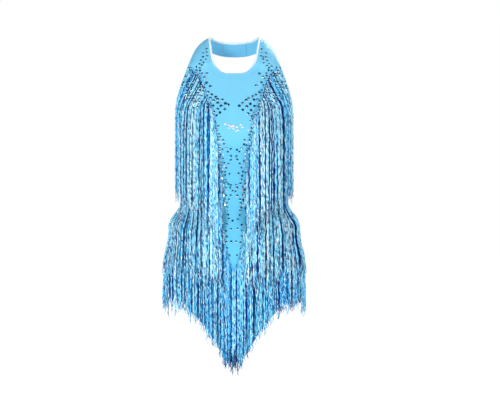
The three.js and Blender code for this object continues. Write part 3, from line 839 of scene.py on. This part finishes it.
class Chances:
    """What differs from clump to clump and from strand to strand."""

    def __init__(self, looks, clumps, under):
        count, groups = len(clumps), clumps.max() + 1
        self.looks, self.under = looks, under
        self.clump_length, self.clump_swing, self.clump_tone, self.clump_lift = (
            rng.normal(size=(4, groups))[:, clumps])
        self.length, self.swing, self.lift, self.thickness = rng.normal(size=(4, count))
        self.deep = rng.random(count) < looks["deep"]
        self.wisp = rng.random(count) < (0 if under else WISPS["share"])
        self.longer = np.minimum(rng.exponential(WISPS["mean"], count), WISPS["most"]) * self.wisp
        self.wave_start, _, self.spin_start = rng.uniform(0, math.tau, size=(3, count, 1))
        self.clump_start = rng.uniform(0, math.tau, size=(groups, 1))[clumps]
        self.wave = rng.uniform(*WAVE_LENGTH["own"], size=(count, 1))
        self.clump_wave = rng.uniform(*WAVE_LENGTH["clump"], size=(groups, 1))[clumps]

# %% How strands fall


class Falling(Chances):
    """The heads of strands along a heading, and their way down."""

    def __init__(self, tier, curtain, line, places, clumps, under):
        super().__init__(LOOKS[tier], clumps, under)
        even, turns, ups = line
        self.tier, self.curtain = tier, curtain
        self.head_turn = np.interp(places, even, turns)
        self.head_up = np.interp(places, even, ups)
        self.fan_out = np.zeros(len(places))
        if tier == "chest_fringe":
            start = np.interp(FAN["from"], turns, even)
            outward = np.clip((places - start) / (even[-1] - start), 0, 1)
            self.fan_out = FAN["more"] * outward ** FAN["grows"]
        self.set_hems()

    def fall(self, hem, rings):
        """Turns, heights, reaches and shares of the way down, of rings from the heads to a hem."""
        drop = np.broadcast_to(np.linspace(0, 1, rings), (len(hem), rings))
        up = self.head_up[:, None] + (hem - self.head_up)[:, None] * drop
        start = self.head_turn[:, None] + 0 * drop
        aside = np.radians(self.fan_out) * MEAN_REACH
        fan = (self.head_up[:, None] - up) / np.maximum(aside * FAN["slope"], FAN["least"])[:, None]
        fanned = self.fan_out[:, None] * (1 - (1 - np.clip(fan, 0, 1)) ** FAN["eases"])
        plumb_to, none_past = self.looks["upright"]
        upright = np.clip((none_past - from_the_front(start)) / (none_past - plumb_to), 0, 1)
        turn = start
        for _ in range(4):
            lean = self.curtain.side * turn
            on_cloth = cloth_reach.at(lean, up) + LIFT["cloth"] * cloth_reach.at(lean, up, cloth_tilt)
            on_curtain = self.curtain.inner.at(lean, up) + LIFT["curtain"]
            reach = np.maximum.accumulate(np.maximum(on_cloth, on_curtain), axis=1)
            across = reach[:, :1] * np.sin(np.radians(start))
            plumb = np.degrees(np.arcsin(np.clip(across / reach, 0, 1)))
            plumb = np.where(start > 90, 180 - plumb, plumb)
            turn = start + upright * (plumb - start) + fanned
        return turn, up, np.maximum(smooth_rows(reach, 7), on_cloth - LIFT["sinks"]), drop

    def set_hems(self):
        """How low each strand ends. Strands near the centre reach the hem's point."""
        rough_hem = self.curtain.hem(self.head_turn)
        self.end_turn = self.fall(rough_hem, ROUGH_RINGS)[0][:, -1]
        round_it = from_the_front(self.end_turn) if self.tier == "hip_fringe" else self.end_turn
        hem = self.curtain.hem(self.end_turn) + self.looks["ragged"] * (
            HEM["clump"] * self.clump_length + HEM["own"] * self.length)
        hem += self.looks["shorter"] * np.clip(round_it / HEM["centre"], HEM["least_shorter"], 1)
        hem += HEM["under"] * self.under
        hem -= self.longer * np.clip(round_it / HEM["centre"], HEM["least_longer"], 1)
        self.hem = np.minimum(hem, self.head_up - HEM["least"])

# %% One layer of strands


class Layer(Falling):
    """The strands of one layer of a length of fringe, with their waves, tones and thickness."""

    def waver(self, up, drop):
        """How far each ring lies aside of its plumb place, and outwards of it."""
        swing = SWING["clump"] * self.clump_swing + SWING["own"] * self.swing
        if self.tier == "chest_fringe":
            by_strip = np.clip(1.6 - self.end_turn / SWING["strip"], 0, 1)
            swing = swing * (1 - by_strip) + np.abs(swing) * by_strip * self.curtain.side
        else:
            from_centre = from_the_front(self.end_turn) / SWING["centre"]
            swing = swing * np.clip(from_centre, SWING["least"], 1)
        fallen = self.head_up[:, None] - up
        wobble = np.minimum(drop * WAVE["grows"], 1) * (
            WAVE["clump"] * np.sin(fallen / self.clump_wave * math.tau + self.clump_start)
            + WAVE["own"] * np.sin(fallen / self.wave * math.tau + self.wave_start))
        curl = np.clip((self.hem[:, None] - up) / CURL["over"] + 1, 0, 1) ** CURL["grows"]
        curl *= (CURL["size"] + CURL["wisp"] * self.wisp)[:, None]
        curl_turn = fallen / CURL["pitch"] * math.tau + self.spin_start
        sway = self.looks["sway"] * swing[:, None] * drop ** SWING["grows"]
        outwards = CURL["out"] * curl * np.cos(curl_turn) + WAVE["out"] * wobble
        return sway + wobble + curl * np.sin(curl_turn), outwards

    def tones(self):
        """How light each strand is, from 0, in deep shade, to 1. A swing turns it to the light."""
        dark = TONES["dark_own"] * self.swing
        if self.under:
            # Painted shade: the layer behind is painted dark, as the shade behind the front strands,
            # and less so at the chest tier's outer edge.
            tone = TONES["under"] + TONES["under_clump"] * self.clump_tone + dark
            if self.tier == "chest_fringe":
                beside = np.clip((self.end_turn - TONES["side"]) / TONES["side_over"], 0, 1)
                tone += TONES["under_side"] * beside
        else:
            tone = TONES["clump"] * self.clump_tone + TONES["own"] * self.swing
            tone = np.clip(self.looks["tone"] + tone, TONES["least"], TONES["most"])
            tone = np.where(self.deep, TONES["deep"] + dark, tone)
        return np.clip(tone, 0, 1)

    def strands(self):
        """The middles, radii and spins of the strands' rings, and what the finish reads."""
        rings = int((self.head_up - self.hem).max() / STRAND["ring_gap"])
        turn, up, reach, drop = self.fall(self.hem, rings)
        sideways, outwards = self.waver(up, drop)
        reach += (0 if self.under else LIFT["layer"]) + LIFT["own"] * self.lift[:, None]
        reach += LIFT["clump"] * (self.clump_lift - LIFT["deeper"] * self.deep)[:, None] + outwards
        turn = self.curtain.side * turn + np.degrees(sideways / reach)
        to_end = np.clip((up - self.hem[:, None]) / STRAND["thins_over"], 0, 1)
        radii = STRAND["end"] + (STRAND["radius"] - STRAND["end"]) * to_end ** 0.6
        radii *= (1 + STRAND["uneven"] * self.thickness)[:, None]
        radii *= 1 - STRAND["wispy"] * self.wisp[:, None] * (1 - to_end)
        radii[:, -1] *= 0.5
        # Painted shade: the hip tier's strands nearest the centre are painted navy towards their ends,
        # as the shade under the crotch.
        centre = (self.tier == "hip_fringe") * np.exp(-(self.end_turn / PAINTED_CENTRE_SHADE["within"]) ** 2)
        low = np.clip((drop - PAINTED_CENTRE_SHADE["from"]) / (PAINTED_CENTRE_SHADE["to"] - PAINTED_CENTRE_SHADE["from"]), 0, 1)
        return {
            "middles": round_the_body(turn, reach, up),
            "radii": radii,
            "spins": (self.head_up[:, None] - up) / PLY_TURN * math.pi * 0.5 + self.spin_start,
            "tone": self.tones()[:, None] + 0 * drop,
            "drop": 1 - to_end,
            "bunched": PAINTED_CENTRE_SHADE["most"] * centre[:, None] * low,
        }

# %% Every length of fringe
UNDER_JITTER = 0.0008


def even_rings(values, rings):
    """Values at the rings of strands, read again at another number of rings."""
    grid = np.linspace(0, values.shape[1] - 1, rings)
    low = np.minimum(grid.astype(int), values.shape[1] - 2)
    share = (grid - low).reshape(-1, *[1] * (values.ndim - 2))
    return values[:, low] * (1 - share) + values[:, low + 1] * share


fringes = {}
for (tier, side), curtain in curtains.items():
    line = heading_lines[tier, side]
    front = Layer(tier, curtain, line, *clumped(line[0][-1]), under=False)
    behind = np.arange(PITCH["under_first"], line[0][-1], PITCH["under"])
    behind = behind + rng.uniform(-UNDER_JITTER, UNDER_JITTER, len(behind))
    back = Layer(tier, curtain, line, behind, np.arange(len(behind)) // 3, under=True)
    layers = [front.strands(), back.strands()]
    rings = layers[0]["middles"].shape[1]
    joined = {key: np.concatenate([even_rings(layer[key], rings) for layer in layers])
              for key in layers[0]}
    piece = tubes(f"strands_{tier}_{side}", cord, **joined)
    fringes[tier, side] = piece
    print(piece.name, len(joined["middles"]), "strands,", len(piece.data.polygons), "facets")

# %% [markdown]
# ## The headings
#
# The top of fringe trim is a flat braid that holds the strands. Here it is two fine cords, twisted
# together along the line where the trim is sewn on. They share the strands' finish and cover the
# strands' heads, so that no strand seems to start from nowhere.

# %% A braid along each heading
BRAID = {"apart": 0.0011, "radius": 0.00125, "lift": 0.0026, "turn": 0.007, "step": 0.0012,
         "flat": 0.6, "tones": (0.5, 0.64)}


def heading_braid(tier, side):
    even, turns, ups = heading_lines[tier, side]
    along = np.arange(0, even[-1], BRAID["step"])
    turn = SIDES[side] * np.interp(along, even, turns)
    up = np.interp(along, even, ups)
    reach = smooth_rows(cloth_reach.at(turn, up)[None], 9)[0] + BRAID["lift"]
    middle = round_the_body(turn, reach, up)
    outward = unit(middle * [1, 1, 0] - [0, AXIS_Y, 0])
    across = unit(np.cross(unit(np.gradient(middle, axis=0)), outward))
    twist = along / BRAID["turn"] * math.tau + np.array([[0], [math.pi]])
    aside, out = np.cos(twist)[..., None], BRAID["flat"] * np.sin(twist)[..., None]
    none = np.zeros(twist.shape)
    radii = none + BRAID["radius"]
    radii[:, [0, -1]] *= 0.5
    return tubes(
        f"heading_{tier}_{side}", cord, middle + BRAID["apart"] * (aside * across + out * outward),
        radii, none, tone=none + np.array(BRAID["tones"])[:, None], drop=none, bunched=none)


headings = {key: heading_braid(*key) for key in curtains}
print(len(headings), "headings")

# %% [markdown]
# ## The neck's binding
#
# The neckline is finished with a narrow binding: a strip of jersey folded over the raw edge and
# stitched down. Seen from the front it is a pale rounded line up both sides of the neck, and at the
# bottom of the scoop it takes the cloth's own blue. Its middle line comes from the frame's binding,
# whose corners fall into small squares along it. A rounded tube follows that line and sits a little
# over the cloth's edge, so that no edge shows beside it.

# %% The line of the binding
SECTION_EDGE = 0.0035    # an edge of the frame's binding that is shorter than this lies across it


def chains_of(pairs):
    """Walks from neighbour to neighbour, and gives each chain of them, always in the same order."""
    beside = {}
    for a, b in sorted(sorted(pair) for pair in pairs):
        beside.setdefault(a, []).append(b)
        beside.setdefault(b, []).append(a)
    chains, seen = [], set()
    for start in beside:
        if start in seen:
            continue
        chain = [start]
        while chain[-1] not in seen:
            seen.add(chain[-1])
            chain += [other for other in beside[chain[-1]] if other not in seen][:1]
        chains.append(chain)
    return chains


def sections_of(node):
    """The middles of a rod's four-cornered sections, in order round its loop."""
    shape = merged(node)
    shape.verts.index_update()
    section = {}
    for corner in shape.verts:
        if corner.index not in section:
            group = [corner]
            for v in group:
                near = [e.other_vert(v) for e in v.link_edges if e.calc_length() < SECTION_EDGE]
                group.extend(other for other in near if other not in group)
            section.update({v.index: corner.index for v in group})
    pairs = [[section[v.index] for v in edge.verts] for edge in shape.edges]
    chain = chains_of(pair for pair in pairs if pair[0] != pair[1])[0]
    middles = [np.mean([v.co for v in shape.verts if section[v.index] == first], axis=0)
               for first in chain]
    shape.free()
    return np.array(middles)


def smooth_loop(points, count):
    """A closed curve through points, evenly spaced, by rounding off a polygon four times."""
    for _ in range(4):
        onward = np.roll(points, -1, axis=0)
        points = np.stack([0.75 * points + 0.25 * onward, 0.25 * points + 0.75 * onward], axis=1)
        points = points.reshape(-1, 3)
    closed = np.vstack([points, points[:1]])
    along = lengths_along(closed)
    even = np.linspace(0, along[-1], count, endpoint=False)
    return np.stack([np.interp(even, along, closed[:, k]) for k in range(3)], axis=1), along[-1]


RINGS = 260
binding_line, binding_length = smooth_loop(sections_of("neck_binding"), RINGS)
print("binding", round(binding_length, 3), "m long")

# %% The binding's finish
EDGE_BLUE, EDGE_PALE, EDGE_MOTTLE = colour(112, 184, 222), colour(222, 236, 244), colour(150, 200, 226)
EDGE_FADE = {"from": -0.062, "sharp": 45.0}      # blue up to this height, and pale 22 mm above it
STRIP = {"ribs": 5200.0, "mottle": 240.0}        # a sine's radians and a noise's repeats to a metre


def binding_finish():
    jersey = Finish("neck_binding", Sheen_Weight=0.15, Specular_IOR_Level=0.3)
    ribs = (jersey.along("strip_map")[1] * STRIP["ribs"]).sine()
    place = jersey.place()
    risen = (jersey.axes(place)[2] - EDGE_FADE["from"]) * EDGE_FADE["sharp"]
    tint = jersey.blend(risen.at_most(1.0).at_least(0.0), EDGE_BLUE, EDGE_PALE)
    tint = jersey.blend(jersey.noise(place, STRIP["mottle"]) * 0.3, tint, EDGE_MOTTLE)
    return jersey.surface(
        Base_Color=tint, Roughness=ribs * 0.05 + 0.6, Normal=jersey.bump(ribs, 0.00015, 0.6))

# %% The binding
BIND = {"half_width": 0.0024, "half_depth": 0.0017, "over_edge": 0.0009, "corners": 12}
PUFF = {"size": 0.05, "turn": 0.7}       # it is a little uneven, from ring to ring


def make_binding(middles, length):
    """A rounded strip along the line, which lies on the cloth and reaches over its edge."""
    onward = unit(np.roll(middles, -1, axis=0) - np.roll(middles, 1, axis=0))
    outward = np.array([cloth_tree.find_nearest(Vector(p))[1] for p in middles])
    outward = unit(outward - (outward * onward).sum(axis=1, keepdims=True) * onward)
    across = unit(np.cross(onward, outward))
    away = ((middles - middles.mean(axis=0)) * across).sum(axis=1, keepdims=True)
    across *= np.sign(away)
    middles = middles + BIND["over_edge"] * across
    rings, corners = len(middles), BIND["corners"]
    angle = (np.arange(corners) / corners * math.tau)[None, :, None]
    puff = 1 + PUFF["size"] * np.sin(np.arange(rings) * PUFF["turn"])[:, None, None]
    points = middles[:, None] + puff * (
        BIND["half_width"] * np.cos(angle) * across[:, None]
        + BIND["half_depth"] * np.sin(angle) * outward[:, None])
    number = np.arange(rings * corners).reshape(rings, corners)
    mesh = bpy.data.meshes.new("binding_neck")
    mesh.from_pydata(
        points.reshape(-1, 3).tolist(), [], walls_between(number, np.roll(number, -1, axis=0)))
    ring, corner = wall_corners(rings, corners)
    add_map(mesh, "strip_map", corner / corners, ring * length / rings)
    mesh.shade_smooth()
    piece = new_piece("binding_neck", mesh, binding_finish())
    only(piece)
    bpy.ops.object.mode_set(mode="EDIT")
    bpy.ops.mesh.select_all(action="SELECT")
    bpy.ops.mesh.normals_make_consistent(inside=False)
    bpy.ops.object.mode_set(mode="OBJECT")
    return piece, middles


binding, binding_line = make_binding(binding_line, binding_length)
print(binding.name, len(binding.data.polygons), "facets")

# %% [markdown]
# ## Many small copies
#
# Stones and stitches are small things in large numbers. One of each is modelled, and its points are
# copied to every place as one array, so that thousands of them are one joined mesh. Each facet of
# each copy carries a number: partly chance, and partly how far it faces down, because cut glass
# mirrors the pale floor in its lower facets and the dark room in the others.

# %% Joining copies
LIT = {"chance": 0.55, "downward": 0.45, "steep": 2.2}


def loops_of(mesh):
    """The corners of each facet from its lowest, in one order, because operators give them in any."""
    loops = []
    for face in mesh.polygons:
        corners = list(face.vertices)
        first = corners.index(min(corners))
        loops.append(corners[first:] + corners[:first])
    return sorted(loops)


def joined_copies(name, pattern, spots, finish):
    """pattern is a mesh. Each spot is its place and the three axes that it is turned and sized by."""
    shape = points_of(pattern)
    loops = loops_of(pattern)
    places, axes = (np.array(values) for values in zip(*spots))
    points = places[:, None] + np.einsum("pk,nkc->npc", shape, axes)
    faces = [[i * len(shape) + v for v in loop] for i in range(len(spots)) for loop in loops]
    mesh = bpy.data.meshes.new(name)
    mesh.from_pydata(points.reshape(-1, 3).tolist(), [], faces)
    downward = np.clip(np.array([-face.normal.z for face in mesh.polygons]) * LIT["steep"], 0, 1)
    lit = LIT["chance"] * rng.random(len(faces)) + LIT["downward"] * downward
    facet = mesh.attributes.new("facet", "FLOAT", "FACE")
    facet.data.foreach_set("value", lit.astype(np.float32))
    print(name, len(spots))
    return new_piece(name, mesh, finish)


def standing(normal, along, size):
    """Axes for a copy that stands on a surface: along it, across it and out of it."""
    normal = unit(np.array(normal, dtype=float))
    along = np.array(along, dtype=float)
    along = unit(along - (along @ normal) * normal)
    across = np.cross(normal, along)
    return np.stack([along * size[0], across * size[1], normal * size[2]])

# %% [markdown]
# ## The stones
#
# The stones are flat-backed glass, about five millimetres wide, with eight facets round a flat
# table. They are glued to the cloth. Most facets of a dark stone reflect something dark, and the
# lowest one or two are bright, so a stone reads as a dark teal dot with a white spark under it.
# The pattern here is a plain arrangement by rule: rows beside the neck, a scatter over the outer
# chest, arcs that fall towards the middle, rows along the inner edge of the fringe, a crescent of
# clear crystals, two waves that cross down the strip, and a row down each of its lower edges.

# %% One stone
STONE = {"radius": 0.0027, "sizes": (0.9, 1.08), "tilt": 0.05}      # the pattern's own radius is 1
FACETS = 8
GIRDLE = 0.3             # height of its upright edge
CROWN = {"rise": 0.45, "table": 0.56}


def cut_stone():
    bpy.ops.object.select_all(action="DESELECT")
    bpy.ops.mesh.primitive_cylinder_add(
        vertices=FACETS, radius=1.0, depth=GIRDLE, location=(0, 0, GIRDLE / 2))
    stone = bpy.context.object
    bpy.ops.object.transform_apply(location=True)
    bpy.ops.object.mode_set(mode="EDIT")
    bpy.ops.mesh.select_all(action="DESELECT")
    shape = bmesh.from_edit_mesh(stone.data)
    for face in shape.faces:
        face.select_set(face.normal.z > 0.9)
    bmesh.update_edit_mesh(stone.data)
    bpy.ops.mesh.extrude_region_move(TRANSFORM_OT_translate={"value": (0, 0, CROWN["rise"])})
    bpy.ops.transform.resize(value=(CROWN["table"], CROWN["table"], 1.0))
    bpy.ops.transform.rotate(
        value=math.pi / FACETS, orient_axis="Z", center_override=(0, 0, GIRDLE + CROWN["rise"]))
    bpy.ops.object.mode_set(mode="OBJECT")
    mesh = stone.data
    bpy.data.objects.remove(stone)
    return mesh


def stone_finish(name, *stops, rough):
    glass = Finish(name, Metallic=0.35, Coat_Weight=0.15, Coat_Roughness=0.08)
    facet = glass.attribute("facet")
    return glass.surface(
        Base_Color=glass.ramp(facet, *stops, interpolation="CONSTANT"),
        Roughness=facet * 0.1 + rough)


stone_pattern = cut_stone()
print("stone of", len(stone_pattern.polygons), "facets")
dark_glass = stone_finish(
    "dark_rhinestone", (0.0, colour(0, 40, 68)), (0.26, colour(0, 70, 98)),
    (0.48, colour(0, 108, 138)), (0.7, colour(226, 250, 255)), rough=0.2)
clear_glass = stone_finish(
    "clear_rhinestone", (0.0, colour(168, 190, 214)), (0.2, colour(226, 206, 214)),
    (0.42, colour(236, 246, 252)), rough=0.1)

# %% Gluing stones to the front
strand_tree = joined_tree([fringes["chest_fringe", side].data for side in SIDES])
BESIDE = (-0.0012, 0, 0.0012)    # where a strand is looked for in front of the cloth
glued = []                       # the places taken, so that no stone lies on another


def on_front(across, up, over_fringe):
    """The place on the cloth, or on the fringe over it, straight behind a point seen from the front."""
    start = Vector((across, -FAR, up))
    ahead = Vector((0, 1, 0))
    hit, normal, _, gap = cloth_tree.ray_cast(start, ahead, FAR)
    if hit and over_fringe:
        tried = [strand_tree.ray_cast(start + Vector((aside, 0, 0)), ahead, gap)[3] for aside in BESIDE]
        hit -= ahead * max([gap - other for other in tried if other], default=0.0)
    return hit, normal


def set_stones(places, size=1.0, over_fringe=False, jitter=0.0007):
    """Stones at both sides of the front, from places on the wearer's left in millimetres."""
    spots = []
    for across, up in places:
        for side in SIDES.values():
            a, b = rng.normal(scale=jitter, size=2)
            place, normal = on_front(side * across / 1000 + a, up / 1000 + b, over_fringe)
            if not place:
                continue
            spin = rng.uniform(0, math.tau)
            tilt = Vector(rng.normal(scale=STONE["tilt"], size=3))
            radius = STONE["radius"] * size * rng.uniform(*STONE["sizes"])
            if min(((place - other).length for other in glued), default=1) > 2 * STONE["radius"]:
                glued.append(place)
                along = (math.cos(spin), 0.1, math.sin(spin))
                spots.append((place, standing(normal + tilt, along, [radius] * 3)))
    return spots


def spaced(points, gap):
    """Points a gap apart along a line of points, all in millimetres."""
    points = np.array(points, dtype=float)
    along = lengths_along(points)
    even = np.arange(gap / 2, along[-1], gap)
    return list(zip(*(np.interp(even, along, points[:, k]) for k in range(2))))

# %% Places for stones, in millimetres from the middle and up from the nape


def beside_neck():
    """Three rows down the strap, further from the neck as they come down."""
    return (spaced([(62, -12), (60, -30), (66, -48), (78, -62)], 8.5)
            + spaced([(71, -22), (70, -36), (76, -50), (88, -62)], 9.0)
            + spaced([(66, -20), (66, -42), (80, -58)], 11.0))


def outer_chest():
    """A scatter in staggered rows over the heads of the fringe, thinner towards the bottom."""
    places = []
    for row, up in enumerate(np.arange(-60, -152, -6.5)):
        share = (-60 - up) / 92
        left = 74 - 22 * share
        right = 106 + 14 * min(1, 2.2 * share) - 34 * max(0, share - 0.45)
        for across in np.arange(left + 3.6 * (row % 2), right, 7.2):
            if rng.random() > 0.18 + 0.42 * share ** 2:
                places.append((across, up))
    return places


def bust_arcs():
    """Arcs that fall from the outer chest towards the middle, and a few stones over them."""
    places = []
    for row in range(5):
        ends = [(7 + 9 * row, -150 - 9 * row), (37 + 3 * row, -129 - 10 * row),
                (66 - 2 * row, -112 - 12 * row)]
        places += spaced(ends, 9.2 + 0.9 * row)
    return places + [(58, -74), (66, -84), (52, -102), (60, -96)]


def crescent():
    return [(across, -192 - row * 4.6 + 0.012 * across ** 2)
            for row in range(3) for across in np.arange(2.4 * (row % 2), 24 - 4 * row, 4.9)]


def beside_fringe():
    """Two rows of small stones along the inner edge of the chest tier."""
    edge = [(56, -138), (47, -158), (42, -180), (37, -206), (32, -240), (27, -280), (23, -330),
            (20, -372)]
    return spaced(edge, 6.5) + spaced([(across - 5.5, up - 3) for across, up in edge[1:]], 9.0)


def crossing_waves():
    """One of two waves that cross down the strip, with a few stones beside it here and there."""
    places = []
    for row, up in enumerate(np.arange(-224, -402, -8.6)):
        below = up + 262
        bulge = abs(math.sin(math.pi * below / 74))
        places.append((3.0 + (18 + 0.05 * below) * bulge, up))
        if row % 3 == 2 and bulge > 0.5:
            places.append((18 * bulge - 7, up - 3))
    return places


def strip_edges():
    edge = [(16, -402), (16.5, -440), (15, -468), (10, -490), (4, -509)]
    return spaced(edge, 13.0) + [(7, -418), (5, -446), (8, -476)]

# %% The stones
dark_spots = (
    set_stones(bust_arcs(), 1.22, jitter=0.0013) + set_stones(beside_neck(), 0.95)
    + set_stones(outer_chest(), 0.9, over_fringe=True) + set_stones(crossing_waves(), 0.95)
    + set_stones(strip_edges(), 0.95))
edge = beside_fringe()
dark_spots += set_stones(edge[::3] + edge[1::3], 0.85, over_fringe=True, jitter=0.0012)
clear_spots = set_stones(crescent(), 1.0, jitter=0.0008)
clear_spots += set_stones(edge[2::3], 0.8, over_fringe=True, jitter=0.0012)
stones = [
    joined_copies("stones_dark", stone_pattern, dark_spots, dark_glass),
    joined_copies("stones_clear", stone_pattern, clear_spots, clear_glass),
]

# %% [markdown]
# ## The stitches
#
# Jersey is hemmed by a machine that lays two rows of stitches side by side, and its seams are closed
# by one row on each side. The raw edges of the four cloth faces say where: an edge near the binding
# is the neck, an edge beside another face is a seam, and the rest are hems at the armholes, the back
# and the legs. A stitch is a tiny long bead, half sunk in the cloth.

# %% Raw edges
STITCH = {"half": 0.0013, "wide": 0.0003, "high": 0.00039, "gap": 0.0038}
ROWS = {"neck": (0.010, 0.0125), "seam": (0.0022,), "hem": (0.007, 0.0095)}
NEAR = {"neck": 0.007, "seam": 0.0045, "cloth": 0.004}
LEAST_INTO = 0.2         # at a corner, the way into the cloth runs along the edge, so no stitch fits


def borders(mesh):
    """The edges of a cloth face, each as its points in order with the ways into the cloth."""
    shape = bmesh.new()
    shape.from_mesh(mesh)
    shape.verts.ensure_lookup_table()
    pairs = [[v.index for v in edge.verts] for edge in shape.edges if edge.is_boundary]
    found = []
    for chain in chains_of(pairs):
        verts = [shape.verts[i] for i in [*chain, chain[0]]]
        points = np.array([v.co[:] for v in verts])
        inward = [sum((f.calc_center_median() - v.co for f in v.link_faces), Vector()) for v in verts]
        found.append((points, unit(np.array(inward))))
    shape.free()
    return found


def nearest_gap(points, others):
    """How far each point is from the nearest of the others."""
    return np.linalg.norm(points[:, None] - others, axis=2).min(axis=1)

# %% Rows of stitches


def stitches_along(points, inward, kind):
    """Stitches in rows beside one edge."""
    along = lengths_along(points)
    spots = []
    for at in np.arange(0, along[-1], STITCH["gap"]):
        i = min(int(np.searchsorted(along, at, side="right")) - 1, len(points) - 2)
        share = (at - along[i]) / (along[i + 1] - along[i])
        way = unit(points[i + 1] - points[i])
        into = inward[i] - (inward[i] @ way) * way
        if np.linalg.norm(into) < LEAST_INTO:
            continue
        for row in ROWS[str(kind[i])]:
            spot = points[i] * (1 - share) + points[i + 1] * share + row * unit(into)
            hit, normal, _, gap = cloth_tree.find_nearest(Vector(spot))
            if gap < NEAR["cloth"]:
                size = (STITCH["half"], STITCH["wide"], STITCH["high"])
                spots.append((hit, standing(normal, way, size)))
    return spots


def stitch_spots():
    edges = {node: borders(panel.data) for node, panel in panels.items()}
    spots = []
    for node, chains in edges.items():
        others = np.vstack([points for other, found in edges.items() if other != node
                            for points, _ in found])
        for points, inward in chains:
            kind = np.where(nearest_gap(points, others) < NEAR["seam"], "seam", "hem")
            kind = np.where(nearest_gap(points, binding_line) < NEAR["neck"], "neck", kind)
            spots += stitches_along(points, inward, kind)
    return spots


bpy.ops.object.select_all(action="DESELECT")
bpy.ops.mesh.primitive_ico_sphere_add(subdivisions=1, radius=1.0)
bead = bpy.context.object
bead_mesh = bead.data
bpy.data.objects.remove(bead)

thread = Finish("thread", Specular_IOR_Level=0.4, Roughness=0.5)
# Painted light: the thread's downward facets are painted paler, as if lit by the floor below; the rest
# of its colour differs at random.
thread_tint = thread.blend(thread.attribute("facet") * 0.6, colour(44, 134, 190), colour(104, 184, 222))
stitches = joined_copies("stitches", bead_mesh, stitch_spots(), thread.surface(Base_Color=thread_tint))

# %% [markdown]
# ## Finishing, and riding on the body
# The cloth faces become walls. Every piece rides on the one body, and the parts of the frame that it
# stands for are hidden. Stretch cloth is cut smaller than the body, here by about a tenth round it,
# and is worn stretched to its size. Only the gusset and the neck band, which are small, are worn
# about as they are cut.

# %% Walls, and the pieces on the body
CLOTH = 0.0015


def declare(piece, slot, *nodes):
    """Rides a piece on the one body, and hides the parts of the frame that it stands for. Its slot is
    not used.
    """
    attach(piece, "root")
    if nodes:
        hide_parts(*nodes)


for node, panel in panels.items():
    apply_modifier(panel, "SOLIDIFY", thickness=CLOTH, offset=-1.0)
    declare(panel, "stretch_cloth", node)
for (tier, side), piece in fringes.items():
    declare(piece, "fringe_strand", f"{tier}_{side}")
for piece in headings.values():
    declare(piece, "fringe_strand")
for piece in stones:
    declare(piece, "rhinestone")
declare(binding, "neck_binding", "neck_binding")
declare(stitches, "stretch_cloth")

trims = {node: [] for node in panels}
trims["front_panel"] = [binding, stitches, *stones, *fringes.values(), *headings.values()]
for node, panel in panels.items():
    print(node, "worn area", round(sum(face.area for face in panel.data.polygons) / 2, 4))
